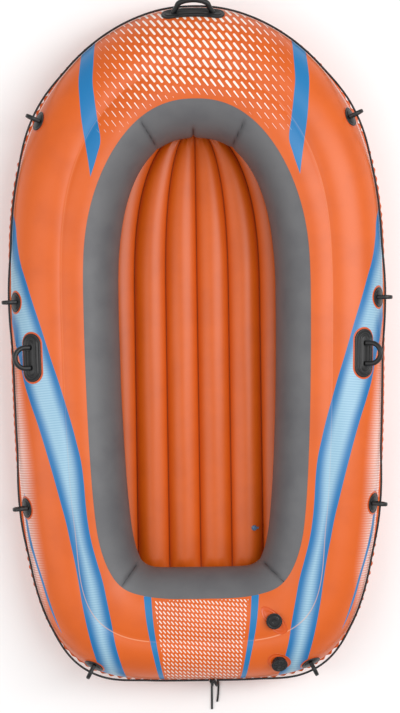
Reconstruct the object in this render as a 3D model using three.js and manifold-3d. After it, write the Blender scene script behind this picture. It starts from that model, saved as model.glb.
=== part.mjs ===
// Two-chamber inflatable boat, built from its welded panels and moulded fittings.
// Millimetres. +X is starboard, +Y is the bow, +Z is up, and the boat rests on z = 0.

import * as THREE from 'three';
import { mergeVertices } from 'three/addons/utils/BufferGeometryUtils.js';
import Module from 'manifold-3d';

const { clamp, degToRad, lerp, radToDeg, smoothstep } = THREE.MathUtils;

const wasm = await Module();
wasm.setup();

// ---------------------------------------------------------------- driving sizes

// Facets of round pieces
const ROUND_SIDES = 16;
const LONG_PAD_SIDES = 28;
const STATION_COUNT = 56; // cross-sections round the hull
const TOP_OUTER_STEPS = 7; // facets of the top panel over the outer lobe
const TOP_INNER_STEPS = 2; // and over the inner lobe
const WALL_STEPS = 8;
const BOTTOM_OUTER_STEPS = 4;
const RIB_STEPS = 5; // facets across one floor rib
const EDGE_STEPS = 720; // points that measure the hull's edge
const CROSSING_STEPS = 40; // halvings that find a line's crossing with a plan

// Plan of the hull: two superellipse halves that meet at the widest line.
const HULL_WIDTH = 1095;
const BOW_LENGTH = 835; // from the widest line to the bow
const STERN_LENGTH = 1125; // from the widest line to the stern
const BEAM_Y = 138; // the widest line's place
const OUTER_BEAM_POWER = 2.85; // the bow half's power at the widest line
const OUTER_BOW_POWER = 2.1; // and at the bow
const OUTER_STERN_POWER = 4.2;
const OUTER_STERN_TAPER = 0.045;
const INNER_BOW_POWER = 2.4;
const INNER_STERN_POWER = 10;
const INNER_STERN_TAPER = 0.15;
const STERN_BAFFLE_SHARE = 0.61; // the baffle's place across the tube at the stern, from inboard
const BOW_PIVOT_Y = 225; // panel stations fan out from here towards the bow
const STERN_PIVOT_Y = -525; // and from here towards the stern

// Hull tube: an outer and an inner lobe on either side of the baffle.
const SIDE_TUBE_WIDTH = 312;
const BOW_TUBE_WIDTH = 375;
const STERN_TUBE_WIDTH = 322;
const SIDE_LOBE_RADIUS = 123;
const BOW_LOBE_RADIUS = 136;
const GROUND_SINK = 2.5; // how far the lobes flatten on the ground
const SKIN = 1.2;
const GAP = 0.3; // clearance between pieces that touch
const PANEL_GAP = 0.36; // clearance between the edges of two panels
const SEAM_WIDTH = 7;
const SEAM_THICKNESS = 2;
const SIDE_COAMING = 62; // from the baffle to the grey panel
const END_COAMING = 96;

// Air floor
const RIB_PITCH = 93;
const RIB_COUNT = 6;
const FLOOR_UNDERSIDE = 4;
const FLOOR_CREASE_HEIGHT = 24;
const FLOOR_RIB_RISE = 26;
const RIB_FULLNESS = 0.75; // the lower, the fuller the rib's section
const FLOOR_EDGE_HEIGHT = 34; // where the ribbed sheet meets the cockpit wall
const FLOOR_BOW_CUT = 0.94; // share of the floor's bow length that the ribs fill
const FLOOR_EDGE_CLEARANCE = 5;
const FLOOR_END_CLEARANCE = 28;
const RIB_FACET_SAG = 1; // the ribs' flat facets lie this far under their curve at most
const EDGE_RIB_LEAST = 10; // the least width of the rib against the wall
const FLOOR_END_EASE = 60; // over this length the ribs fade out at both ends

// Rope holders, and other fittings below: places along the hull's edge, as shares of the way
// from the bow to the stern.
const HOLDER_SHARES = [0.229, 0.439, 0.668, 0.873];
const HOLDER_ANGLE = 32;
const PATCH_RADIUS = 29;
const PATCH_THICKNESS = 2.4;
const PAD_INNER_SHARE = 0.6; // an inner ring of points that lets a pad follow the skin
const EYE_WIDTH = 42;
const EYE_HEIGHT = 38;
const EYE_THICKNESS = 11;
const EYE_WALL = 8;
const ROPE_RADIUS = 3;
const ROPE_SIDES = 8;
const ROPE_STEPS = 100;
const TAIL_STEPS = 18;
const TAIL_REST_HEIGHT = 3.6; // the centre of a tail that lies on the ground
const ROPE_REST_ANGLE = 22; // where the rope lies between two holders
const ROPE_REST_HEIGHT = 4.6; // the rope's centre over the skin between two holders
const ROPE_HOLE_HEIGHT = 20; // and inside an eye
const ROPE_BOW_ANGLE = 31;
const ROPE_BOW_HEIGHT = 9.6;
const ROPE_PULL_START = 8;
const ROPE_PULL_LENGTH = 170;
const KNOT_OFFSET = 30; // to starboard of the middle of the stern
const KNOT_LENGTH = 22;
const KNOT_WIDTH = 16;
const KNOT_SIDES = 12;
const KNOT_ROWS = 8;

// Oarlocks
const OARLOCK_SHARE = 0.501;
const OARLOCK_ANGLE = 62;
const OARLOCK_LEAN = 34; // the ring leans outboard from the pad's normal
const OARLOCK_PAD_LENGTH = 138;
const OARLOCK_PAD_WIDTH = 60;
const OARLOCK_PAD_THICKNESS = 4;
const OARLOCK_RING_WIDTH = 72;
const OARLOCK_RING_HEIGHT = 52;
const OARLOCK_RING_WALL = 14;
const OARLOCK_RING_THICKNESS = 14;

// Bow handle
const HANDLE_ANGLE = 39;
const HANDLE_PAD_LENGTH = 190;
const HANDLE_PAD_WIDTH = 52;
const HANDLE_PAD_THICKNESS = 4;
const HANDLE_FOOT_WIDTH = 138;
const HANDLE_TOP_WIDTH = 104;
const HANDLE_HEIGHT = 40;
const HANDLE_RISE = 26;
const HANDLE_WALL = 14;
const HANDLE_THICKNESS = 16;
const BOW_EYE_WIDTH = 26;
const BOW_EYE_HEIGHT = 20;
const BOW_EYE_WALL = 6;
const BOW_EYE_THICKNESS = 11;

// Main valves: each place is a share of the edge, a lobe and an angle over its equator
const OUTER = 1;
const INNER = -1;
const OUTER_VALVE = { share: 0.904, side: OUTER, degrees: 63 };
const INNER_VALVE = { share: 0.875, side: INNER, degrees: 90 };
const NECK_RADIUS = 20;
const NECK_WALL = 3;
const NECK_DEPTH = 16;
const NECK_RISE = 2;
const WELD_FLANGE_RADIUS = 34;
const FLANGE_THICKNESS = 1.5;
const SEAL_HEIGHT = 1.5;
const INSERT_DEPTH = 10;
const INSERT_RIM = 2;
const PASSAGE_RADIUS = 10.5;
const SPOUT_RADIUS = 14;
const SPOUT_HEIGHT = 5;
const CAP_RADIUS = 23;
const CAP_THICKNESS = 3;
const CAP_RING_RADIUS = 15;
const CAP_DIMPLE_RADIUS = 5;
const CAP_GROOVE = 1;
const CAP_GROOVE_WIDTH = 2;
const SKIRT_WALL = 3;
const STRAP_THICKNESS = 1.6;
const STRAP_TAB_WIDTH = 8;
const TAB_THICKNESS_SHARE = 0.8;
const FLAP_RADIUS = 12.5;
const FLAP_THICKNESS = 1.2;

// Floor valve
const FLOOR_VALVE_PITCHES = 1.7; // its place across the floor, in rib pitches from the middle
const FLOOR_VALVE_FROM_STERN = 114;
const FLOOR_VALVE_RADIUS = 8;
const FLOOR_VALVE_FLANGE = 13.5;
const FLOOR_NECK_DEPTH = 14;
const FLOOR_NECK_RISE = 2;
const FLOOR_RIM = 1.5;
const FLOOR_STEM_DEPTH = 12;
const PLUG_RADIUS = 2.5;
const PLUG_LENGTH = 11;
const PLUG_HEAD_RADIUS = 5.5;
const PLUG_HEAD_HEIGHT = 2.5;
const FLOOR_STRAP_THICKNESS = 1.2;
const FLOOR_TAB_WIDTH = 5;

// Colours
const ORANGE = { color: 0xe4691f, roughness: 0.45, metalness: 0 };
const GREY = { color: 0x646466, roughness: 0.55, metalness: 0 };
const BLACK = { color: 0x1e1e20, roughness: 0.5, metalness: 0 };
const CLEAR = { color: 0x6f8fb5, roughness: 0.3, metalness: 0 };

const boat = new THREE.Group();

// ---------------------------------------------------------------- mesh helpers

/** Adds a named mesh to the boat, turned so that its faces point out. */
function add(name, geometry, finish, matrix) {
  const mesh = new THREE.Mesh(facingOut(geometry), new THREE.MeshStandardMaterial(finish));
  mesh.name = name;
  if (matrix) {
    mesh.applyMatrix4(matrix);
  }
  boat.add(mesh);
  return mesh;
}

/** Signed volume of a closed geometry. */
function signedVolume(geometry) {
  const position = geometry.attributes.position;
  const index = geometry.index;
  const a = new THREE.Vector3();
  const b = new THREE.Vector3();
  const c = new THREE.Vector3();
  let total = 0;
  for (let i = 0; i < index.count; i += 3) {
    a.fromBufferAttribute(position, index.getX(i));
    b.fromBufferAttribute(position, index.getX(i + 1));
    c.fromBufferAttribute(position, index.getX(i + 2));
    total += a.dot(b.cross(c)) / 6;
  }
  return total;
}

/** Returns the geometry as positions only, with shared vertices and outward faces. */
function facingOut(geometry) {
  const bare = geometry.clone();
  bare.deleteAttribute('normal');
  bare.deleteAttribute('uv');
  const merged = mergeVertices(bare, 1e-4);
  if (signedVolume(merged) < 0) {
    merged.index.array.reverse();
  }
  merged.computeVertexNormals();
  return merged;
}

/** Makes a geometry from a list of points and a list of triangles. */
function fromPoints(points, triangles) {
  const geometry = new THREE.BufferGeometry();
  const flat = points.flatMap((point) => [point.x, point.y, point.z]);
  geometry.setAttribute('position', new THREE.Float32BufferAttribute(flat, 3));
  geometry.setIndex(triangles.flat());
  return geometry;
}

/** Closes two matching point grids into one sheet. Rows close into a ring when ring is true. */
function sheet(upper, lower, ring) {
  const rows = upper.length;
  const columns = upper[0].length;
  const lowerStart = rows * columns;
  const at = (i, j) => (i % rows) * columns + j;
  const triangles = [];
  const quad = (a, b, c, d) => triangles.push([a, b, c], [a, c, d]);
  const lastRow = ring ? rows : rows - 1;
  for (let i = 0; i < lastRow; i += 1) {
    for (let j = 0; j + 1 < columns; j += 1) {
      quad(at(i, j), at(i + 1, j), at(i + 1, j + 1), at(i, j + 1));
      quad( // split along the same diagonal as the quad over it
        lowerStart + at(i, j),
        lowerStart + at(i, j + 1),
        lowerStart + at(i + 1, j + 1),
        lowerStart + at(i + 1, j),
      );
    }
    quad(at(i, 0), lowerStart + at(i, 0), lowerStart + at(i + 1, 0), at(i + 1, 0));
    const j = columns - 1;
    quad(at(i + 1, j), lowerStart + at(i + 1, j), lowerStart + at(i, j), at(i, j));
  }
  if (!ring) {
    for (let j = 0; j + 1 < columns; j += 1) {
      const i = rows - 1;
      quad(at(0, j + 1), lowerStart + at(0, j + 1), lowerStart + at(0, j), at(0, j));
      quad(at(i, j), lowerStart + at(i, j), lowerStart + at(i, j + 1), at(i, j + 1));
    }
  }
  return fromPoints([...upper.flat(), ...lower.flat()], triangles);
}

/** Turns a geometry into a manifold solid. */
function toSolid(geometry) {
  const closed = facingOut(geometry);
  const mesh = new wasm.Mesh({
    numProp: 3,
    vertProperties: new Float32Array(closed.attributes.position.array),
    triVerts: new Uint32Array(closed.index.array),
  });
  return new wasm.Manifold(mesh);
}

/** Turns a manifold solid back into a geometry. */
function toGeometry(solid) {
  const mesh = solid.getMesh();
  const geometry = new THREE.BufferGeometry();
  geometry.setAttribute('position', new THREE.BufferAttribute(mesh.vertProperties, 3));
  geometry.setIndex(new THREE.BufferAttribute(mesh.triVerts, 1));
  return geometry;
}

/** Cuts each tool from a geometry. */
function cut(geometry, tools) {
  let solid = toSolid(geometry);
  for (const tool of tools) {
    solid = solid.subtract(toSolid(tool));
  }
  return toGeometry(solid);
}

/** A turned piece about +Z from a list of [radius, height] pairs, closed on itself. */
function turned(profile, sides) {
  const points = profile.map(([radius, height]) => new THREE.Vector2(radius, height));
  if (profile[0][0] > 0) {
    points.push(points[0].clone());
  }
  return new THREE.LatheGeometry(points, sides).rotateX(Math.PI / 2);
}

/** A plate of a shape, centred on its own thickness. */
function plate(shape, thickness, curveSegments) {
  const options = { depth: thickness, bevelEnabled: false, curveSegments };
  return new THREE.ExtrudeGeometry(shape, options).translate(0, 0, -thickness / 2);
}

/** A rod along +Z whose middle is at the origin. */
function rod(radius, length, sides) {
  return new THREE.CylinderGeometry(radius, radius, length, sides).rotateX(Math.PI / 2);
}

// ---------------------------------------------------------------- hull plan

const outerPlan = {
  halfWidth: HULL_WIDTH / 2 - SEAM_WIDTH,
  bowLength: BOW_LENGTH - SEAM_WIDTH,
  sternLength: STERN_LENGTH - SEAM_WIDTH,
  beamPower: OUTER_BEAM_POWER,
  bowPower: OUTER_BOW_POWER,
  sternPower: OUTER_STERN_POWER,
  taperAt: (share) => OUTER_STERN_TAPER * share,
};

const innerPlan = {
  halfWidth: outerPlan.halfWidth - SIDE_TUBE_WIDTH,
  bowLength: outerPlan.bowLength - BOW_TUBE_WIDTH,
  sternLength: outerPlan.sternLength - STERN_TUBE_WIDTH,
  beamPower: INNER_BOW_POWER,
  bowPower: INNER_BOW_POWER,
  sternPower: INNER_STERN_POWER,
  taperAt: (share) => INNER_STERN_TAPER * share ** 2,
};

/** Half-width of a plan at a given y, or 0 beyond its ends. */
function halfWidthAt(plan, y) {
  const towardsBow = y > BEAM_Y;
  const length = towardsBow ? plan.bowLength : plan.sternLength;
  const share = Math.abs(y - BEAM_Y) / length;
  if (share >= 1) {
    return 0;
  }
  const power = towardsBow ? lerp(plan.beamPower, plan.bowPower, share) : plan.sternPower;
  const taper = towardsBow ? 0 : plan.taperAt(share);
  return plan.halfWidth * (1 - taper) * (1 - share ** power) ** (1 / power);
}

/** Where the line from an inside point to an outside point crosses a plan. */
function crossing(plan, inside, outside) {
  let near = 0;
  let far = 1;
  const point = new THREE.Vector2();
  for (let step = 0; step < CROSSING_STEPS; step += 1) {
    const middle = (near + far) / 2;
    point.lerpVectors(inside, outside, middle);
    if (Math.abs(point.x) < halfWidthAt(plan, point.y)) {
      near = middle;
    } else {
      far = middle;
    }
  }
  return point;
}

/** The outer plan's starboard half as a fine line from the bow to the stern. */
function outerEdge() {
  const points = [];
  for (let i = 0; i <= EDGE_STEPS; i += 1) {
    const turn = (Math.PI * i) / EDGE_STEPS;
    const bow = turn < Math.PI / 2;
    const power = bow ? outerPlan.bowPower : outerPlan.sternPower;
    const length = bow ? outerPlan.bowLength : outerPlan.sternLength;
    const along = Math.abs(Math.cos(turn)) ** (2 / power);
    const y = BEAM_Y + (bow ? 1 : -1) * length * along;
    points.push(new THREE.Vector2(halfWidthAt(outerPlan, y), y));
  }
  return points;
}

const edge = outerEdge();
const edgeRuns = [0];
for (let i = 1; i < edge.length; i += 1) {
  edgeRuns.push(edgeRuns[i - 1] + edge[i].distanceTo(edge[i - 1]));
}
const HALF_RUN = edgeRuns[edge.length - 1];

/** A place on the starboard side, with its run from the bow worked out from its share. */
function placed({ share, side, degrees }) {
  return { run: share * HALF_RUN, side, degrees };
}

/** The point on the outer plan at a run from the bow. A negative run is on the port side. */
function edgePoint(run) {
  const wrapped = run > HALF_RUN ? run - 2 * HALF_RUN : run;
  const distance = Math.min(Math.abs(wrapped), HALF_RUN);
  let i = 1;
  while (i < edge.length - 1 && edgeRuns[i] < distance) {
    i += 1;
  }
  const share = (distance - edgeRuns[i - 1]) / (edgeRuns[i] - edgeRuns[i - 1]);
  const point = new THREE.Vector2().lerpVectors(edge[i - 1], edge[i], share);
  if (wrapped < 0) {
    point.x = -point.x;
  }
  return point;
}

/** A cross-section of the tube at a run: its ends in plan and its lobe sizes. */
function stationAt(run) {
  const outer = edgePoint(run);
  const pivotY = clamp(outer.y, STERN_PIVOT_Y, BOW_PIVOT_Y);
  const inner = crossing(innerPlan, new THREE.Vector2(0, pivotY), outer);
  const bowShare = smoothstep(outer.y, BOW_PIVOT_Y, BEAM_Y + outerPlan.bowLength);
  const sternShare = smoothstep(-outer.y, -STERN_PIVOT_Y, outerPlan.sternLength - BEAM_Y);
  const radius = lerp(SIDE_LOBE_RADIUS, BOW_LOBE_RADIUS, bowShare);
  const halfWidth = lerp(SIDE_TUBE_WIDTH, BOW_TUBE_WIDTH, bowShare) / 2;
  return {
    outer,
    inner,
    radius,
    halfWidth,
    offset: halfWidth - radius,
    centreZ: radius - GROUND_SINK,
    coaming: lerp(SIDE_COAMING, END_COAMING, Math.max(bowShare, sternShare)),
    baffleShare: lerp(0.5, STERN_BAFFLE_SHARE, sternShare),
  };
}

/** The point of a station at a distance out from the baffle and a height over the centre. */
function stationPoint(station, out, height) {
  const reach = out / station.halfWidth;
  const room = out < 0 ? station.baffleShare : 1 - station.baffleShare;
  const share = station.baffleShare + room * reach;
  const plan = new THREE.Vector2().lerpVectors(station.inner, station.outer, share);
  return new THREE.Vector3(plan.x, plan.y, station.centreZ + height);
}

/** The point of a lobe at an angle in radians over its equator, at an inset under the skin. */
function lobePoint(station, side, angle, inset) {
  const radius = station.radius - inset;
  const out = side * (station.offset + radius * Math.cos(angle));
  const point = stationPoint(station, out, radius * Math.sin(angle));
  point.z = Math.max(point.z, inset);
  return point;
}

/** The angle where a lobe meets the baffle. */
function creaseAngle(station, inset) {
  return Math.acos(-station.offset / (station.radius - inset));
}

/** The two angles, below the equator, between which the lobe rests flat on the ground. */
function flatAngles(station) {
  const spread = Math.acos(station.centreZ / station.radius);
  const inboard = Math.min(spread, (creaseAngle(station, 0) - Math.PI / 2) / 2);
  return [-Math.PI / 2 + spread, -Math.PI / 2 - inboard];
}

/** The angle over the inner lobe's equator where the grey panel starts. */
function coamingAngle(station) {
  return Math.acos((station.coaming - station.offset) / station.radius);
}

const FLOOR_WELD_ANGLE = degToRad(-70);

// ---------------------------------------------------------------- hull panels

const stations = [];
for (let i = 0; i < STATION_COUNT; i += 1) {
  stations.push(stationAt((2 * HALF_RUN * i) / STATION_COUNT));
}

/** Points along arcs of one station. Each arc is [side, first angle, last angle, steps]. */
function sectionLine(station, arcs, inset) {
  const line = [];
  arcs.forEach(([side, first, last, steps], index) => {
    for (let step = index === 0 ? 0 : 1; step <= steps; step += 1) {
      line.push(lobePoint(station, side, lerp(first, last, step / steps), inset));
    }
  });
  return line;
}

/** A welded panel: a ring-shaped sheet whose section follows the arcs. */
function panel(arcsOf) {
  const upper = stations.map((station) => sectionLine(station, arcsOf(station, 0), 0));
  const lower = stations.map((station) => sectionLine(station, arcsOf(station, SKIN), SKIN));
  return sheet(upper, lower, true);
}

/** The angle that clears the seam flange above or below the equator. */
function seamAngle(station, inset) {
  return Math.asin((SEAM_THICKNESS / 2 + GAP) / (station.radius - inset));
}

/** Half of the gap between two panels, as an angle. */
function halfGapAngle(station) {
  return PANEL_GAP / 2 / station.radius;
}

function topPanelArcs(station, inset) {
  const crease = creaseAngle(station, inset);
  const edgeAngle = coamingAngle(station) + halfGapAngle(station);
  return [
    [OUTER, seamAngle(station, inset), crease, TOP_OUTER_STEPS],
    [INNER, crease, edgeAngle, TOP_INNER_STEPS],
  ];
}

function wallPanelArcs(station) {
  const top = coamingAngle(station) - halfGapAngle(station);
  return [[INNER, top, FLOOR_WELD_ANGLE + halfGapAngle(station), WALL_STEPS]];
}

function bottomPanelArcs(station, inset) {
  const crease = -creaseAngle(station, inset);
  const [outboard, inboard] = flatAngles(station);
  return [
    [OUTER, -seamAngle(station, inset), outboard, BOTTOM_OUTER_STEPS],
    [OUTER, outboard, inboard, 1],
    [OUTER, inboard, crease, 1],
    [INNER, crease, inboard, 1],
    [INNER, inboard, outboard, 1],
    [INNER, outboard, FLOOR_WELD_ANGLE - halfGapAngle(station), 1],
  ];
}

/** A ring of rectangular section between two distances out and two heights. */
function band(innerOut, outerOut, lowZ, highZ) {
  const corners = (z) => stations.map((station) => [
    stationPoint(station, innerOut(station), z(station)),
    stationPoint(station, outerOut(station), z(station)),
  ]);
  return sheet(corners(highZ), corners(lowZ), true);
}

function chamberBaffle() {
  const reach = (station) => Math.sqrt((station.radius - SKIN) ** 2 - station.offset ** 2) - GAP;
  return band(() => -SKIN / 2, () => SKIN / 2, (station) => -reach(station), reach);
}

function seamFlange() {
  const inside = (station) => station.halfWidth - SKIN;
  const outside = (station) => station.halfWidth + SEAM_WIDTH;
  return band(inside, outside, () => -SEAM_THICKNESS / 2, () => SEAM_THICKNESS / 2);
}

// ---------------------------------------------------------------- places on the hull

/** A right-handed frame on the outer or inner lobe: x along the hull, z out of the skin. */
function skinFrame(run, side, degrees) {
  const angle = degToRad(degrees);
  const nudge = 1;
  const turnNudge = 0.01;
  const at = (shift, turn) => lobePoint(stationAt(run + shift), side, angle + turn, 0);
  const along = at(nudge, 0).sub(at(-nudge, 0)).normalize();
  const around = at(0, turnNudge).sub(at(0, -turnNudge)).normalize();
  const normal = new THREE.Vector3().crossVectors(around, along).normalize();
  if (normal.z < 0) {
    normal.negate();
  }
  const across = new THREE.Vector3().crossVectors(normal, along).normalize();
  const frame = new THREE.Matrix4().makeBasis(along, across, normal);
  return frame.setPosition(at(0, 0));
}

/** A frame lifted along its own z, and turned about its own x by degrees. */
function lifted(frame, height, degrees = 0) {
  const move = new THREE.Matrix4().makeTranslation(0, 0, height);
  const turn = new THREE.Matrix4().makeRotationX(degToRad(degrees));
  return frame.clone().multiply(move).multiply(turn);
}

/** A stadium outline about the origin, long in x, as evenly spaced points. */
function stadium(halfLength, halfWidth, count) {
  const straight = 2 * (halfLength - halfWidth);
  const arc = Math.PI * halfWidth;
  const points = [];
  for (let i = 0; i < count; i += 1) {
    const along = (2 * (straight + arc) * (i + 0.5)) / count;
    const half = along < straight + arc ? 1 : -1;
    const rest = along % (straight + arc);
    const turn = Math.max(rest - straight, 0) / halfWidth;
    const x = Math.min(rest, straight) - straight / 2 + halfWidth * Math.sin(turn);
    points.push(new THREE.Vector2(half * x, -half * halfWidth * Math.cos(turn)));
  }
  return points;
}

/** A stadium pad that follows the skin around a place on a lobe. */
function skinPad(place, length, width, thickness) {
  const segments = length > width ? LONG_PAD_SIDES : ROUND_SIDES;
  const outline = stadium(length / 2, width / 2, segments);
  const skinPoint = (along, across, lift) => {
    const run = place.run + along;
    const turn = place.degrees - radToDeg(across / stationAt(run).radius);
    return new THREE.Vector3(0, 0, lift).applyMatrix4(skinFrame(run, place.side, turn));
  };
  const layer = (lift) => [
    skinPoint(0, 0, lift),
    ...outline.map((point) => skinPoint(point.x * PAD_INNER_SHARE, point.y * PAD_INNER_SHARE, lift)),
    ...outline.map((point) => skinPoint(point.x, point.y, lift)),
  ];
  const points = [...layer(GAP), ...layer(GAP + thickness)];
  const top = points.length / 2;
  const triangles = [];
  const rim = 1 + segments;
  const quad = (a, b, c, d) => triangles.push([a, b, c], [a, c, d]);
  for (let i = 0; i < segments; i += 1) {
    const next = (i + 1) % segments;
    triangles.push([0, 1 + next, 1 + i], [top, top + 1 + i, top + 1 + next]);
    quad(1 + i, 1 + next, rim + next, rim + i);
    quad(top + 1 + i, top + rim + i, top + rim + next, top + 1 + next);
    quad(rim + i, rim + next, top + rim + next, top + rim + i);
  }
  return fromPoints(points, triangles);
}

/** Points along half an ellipse, from one angle to another. */
function archPoints(halfWidth, centreY, rise, first, last) {
  const steps = 8;
  const points = [];
  for (let i = 0; i <= steps; i += 1) {
    const turn = lerp(first, last, i / steps);
    points.push(new THREE.Vector2(halfWidth * Math.cos(turn), centreY + rise * Math.sin(turn)));
  }
  return points;
}

/** An open arch that stands along +Y: its feet, its rounded crown and its wall. */
function archShape({ foot, crown, height, rise, wall, drop }) {
  const shoulder = height - rise;
  return new THREE.Shape([
    new THREE.Vector2(-foot / 2, -drop),
    new THREE.Vector2(-foot / 2 + wall, -drop),
    ...archPoints(crown / 2 - wall, shoulder, rise - wall, Math.PI, 0),
    new THREE.Vector2(foot / 2 - wall, -drop),
    new THREE.Vector2(foot / 2, -drop),
    ...archPoints(crown / 2, shoulder, rise, 0, Math.PI),
  ]);
}

const X_AXIS = new THREE.Vector3(1, 0, 0);
const Y_AXIS = new THREE.Vector3(0, 1, 0);
const Z_AXIS = new THREE.Vector3(0, 0, 1);

/** Stands a flat plate up so that its hole looks along the hull. */
const ACROSS_THE_LINE = new THREE.Matrix4().makeBasis(Y_AXIS, Z_AXIS, X_AXIS);

/** Stands a flat plate up so that it lies in the hull's own direction. */
const ALONG_THE_LINE = new THREE.Matrix4().makeBasis(X_AXIS, Z_AXIS, Y_AXIS.clone().negate());

// ---------------------------------------------------------------- hull and floor nodes

/** How far the skin falls away from a place's frame at a shift along and across the hull. */
function skinDrop(place, along, across) {
  const toFrame = skinFrame(place.run, place.side, place.degrees).invert();
  const turn = place.degrees - radToDeg(across / stationAt(place.run).radius);
  const point = lobePoint(stationAt(place.run + along), place.side, degToRad(turn), 0);
  return -point.applyMatrix4(toFrame).z;
}

/** The largest value of a function of direction, tried all round. */
function largestRound(valueAt) {
  let largest = 0;
  for (let i = 0; i < ROUND_SIDES; i += 1) {
    const turn = (2 * Math.PI * i) / ROUND_SIDES;
    largest = Math.max(largest, valueAt(Math.cos(turn), Math.sin(turn)));
  }
  return largest;
}

/** How far the hull's flat facets lie under the true skin round a place. */
function facetSag(place) {
  const pitch = (2 * HALF_RUN) / STATION_COUNT;
  const nearest = Math.round(place.run / pitch);
  const at = (index) => (
    lobePoint(stationAt(index * pitch), place.side, degToRad(place.degrees), 0)
  );
  let sag = 0;
  for (let index = nearest - 2; index < nearest + 2; index += 1) {
    const middle = at(index).lerp(at(index + 1), 0.5);
    sag = Math.max(sag, middle.distanceTo(at(index + 0.5)));
  }
  const station = stationAt(place.run);
  const topFacet = creaseAngle(station, 0) / TOP_OUTER_STEPS;
  const wallFacet = (coamingAngle(station) - FLOOR_WELD_ANGLE) / WALL_STEPS;
  return sag + station.radius * (1 - Math.cos(Math.max(topFacet, wallFacet) / 2));
}

/** How far the hull's facets fall away from a place's frame, at most, at a distance from it. */
function hullFall(place, distance) {
  const fall = (x, y) => skinDrop(place, distance * x, distance * y);
  return facetSag(place) + largestRound(fall);
}

/** The hull's inside wall in plan at a height over the ground, as one point per station. */
function wallOutline(z, clearance) {
  return stations.map((station) => {
    const height = z - station.centreZ;
    const reach = Math.sqrt(station.radius ** 2 - height ** 2);
    return stationPoint(station, -(station.offset + reach + clearance), height);
  });
}

/** The half-width of an outline at a given y. */
function rowHalfWidth(outline, y) {
  for (let i = 0; i < outline.length / 2; i += 1) {
    const a = outline[i];
    const b = outline[i + 1];
    if (a.y >= y && b.y <= y && a.y > b.y) {
      return lerp(a.x, b.x, (a.y - y) / (a.y - b.y));
    }
  }
  return 0;
}

const floorOutline = wallOutline(FLOOR_EDGE_HEIGHT, FLOOR_EDGE_CLEARANCE);
const FLOOR_STERN_Y = floorOutline[STATION_COUNT / 2].y + FLOOR_END_CLEARANCE;
const floorValveY = FLOOR_STERN_Y + FLOOR_VALVE_FROM_STERN;
const FLOOR_BOW_Y = BEAM_Y + (floorOutline[0].y - BEAM_Y) * FLOOR_BOW_CUT;
const FLOOR_BEAM_WIDTH = rowHalfWidth(floorOutline, BEAM_Y);

/** The distance between creases at a given y: they draw together where the floor narrows. */
function creasePitch(y) {
  const halfWidth = rowHalfWidth(floorOutline, y);
  const share = y > BEAM_Y ? halfWidth / FLOOR_BEAM_WIDTH : 1;
  return Math.min(RIB_PITCH * share, (halfWidth - EDGE_RIB_LEAST) / (RIB_COUNT / 2 - 1));
}

/** The x of each crease at a given y, with the floor's two edges at the ends. */
function creaseLine(y) {
  const halfWidth = rowHalfWidth(floorOutline, y);
  const creases = [];
  for (let k = 1 - RIB_COUNT / 2; k < RIB_COUNT / 2; k += 1) {
    creases.push(k * creasePitch(y));
  }
  return [-halfWidth, ...creases, halfWidth];
}

/** The height of the ribbed sheet at a share across one rib, eased flat at the floor's ends. */
function ribHeight(y, ribWidth, share, lowLeft, lowRight) {
  const fromEnd = Math.min(y - FLOOR_STERN_Y, FLOOR_BOW_Y - y);
  const ease = smoothstep(fromEnd, 0, FLOOR_END_EASE);
  const rise = FLOOR_RIB_RISE * Math.min(1, ribWidth / RIB_PITCH);
  const height = lerp(lowLeft, lowRight, share) + rise * Math.sin(Math.PI * share) ** RIB_FULLNESS;
  return lerp(FLOOR_EDGE_HEIGHT, height, ease);
}

/** One row of points across the ribbed sheet. */
function ribRow(y) {
  const line = creaseLine(y);
  const row = [];
  for (let rib = 0; rib + 1 < line.length; rib += 1) {
    const lowLeft = rib === 0 ? FLOOR_EDGE_HEIGHT : FLOOR_CREASE_HEIGHT;
    const lowRight = rib + 2 === line.length ? FLOOR_EDGE_HEIGHT : FLOOR_CREASE_HEIGHT;
    const ribWidth = line[rib + 1] - line[rib];
    for (let step = rib === 0 ? 0 : 1; step <= RIB_STEPS; step += 1) {
      const share = step / RIB_STEPS;
      const z = ribHeight(y, ribWidth, share, lowLeft, lowRight);
      row.push(new THREE.Vector3(lerp(line[rib], line[rib + 1], share), y, z));
    }
  }
  return row;
}

/** The y of each row of the floor: close together at both ends and round the bow. */
function floorRows() {
  const rows = [];
  const sternSteps = 3;
  for (let i = 0; i < sternSteps; i += 1) {
    rows.push(FLOOR_STERN_Y + (FLOOR_END_EASE * i) / sternSteps);
  }
  rows.push(FLOOR_STERN_Y + FLOOR_END_EASE);
  rows.push(floorValveY - FLOOR_VALVE_FLANGE); // the two rows keep the sheet true at the valve
  const midSteps = 4;
  for (let i = 0; i < midSteps; i += 1) {
    rows.push(lerp(floorValveY + FLOOR_VALVE_FLANGE, BEAM_Y, i / midSteps));
  }
  const bowSteps = 9;
  for (let i = 0; i <= bowSteps; i += 1) {
    rows.push(lerp(BEAM_Y, FLOOR_BOW_Y, Math.sin((Math.PI / 2) * (i / bowSteps))));
  }
  return rows;
}

/** The same rows, lowered by the skin's thickness. */
function lowered(rows) {
  return rows.map((row) => row.map((point) => point.clone().setZ(point.z - SKIN)));
}

/** An upright web under one crease of the ribbed sheet. */
function floorWeb(creaseIndex) {
  const low = FLOOR_UNDERSIDE + SKIN + GAP;
  const high = FLOOR_CREASE_HEIGHT - SKIN - GAP;
  const wall = (shift) => floorRows().map((y) => {
    const x = creaseLine(y)[creaseIndex] + shift;
    return [new THREE.Vector3(x, y, low), new THREE.Vector3(x, y, high)];
  });
  return sheet(wall(SKIN / 2), wall(-SKIN / 2), false);
}

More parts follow.
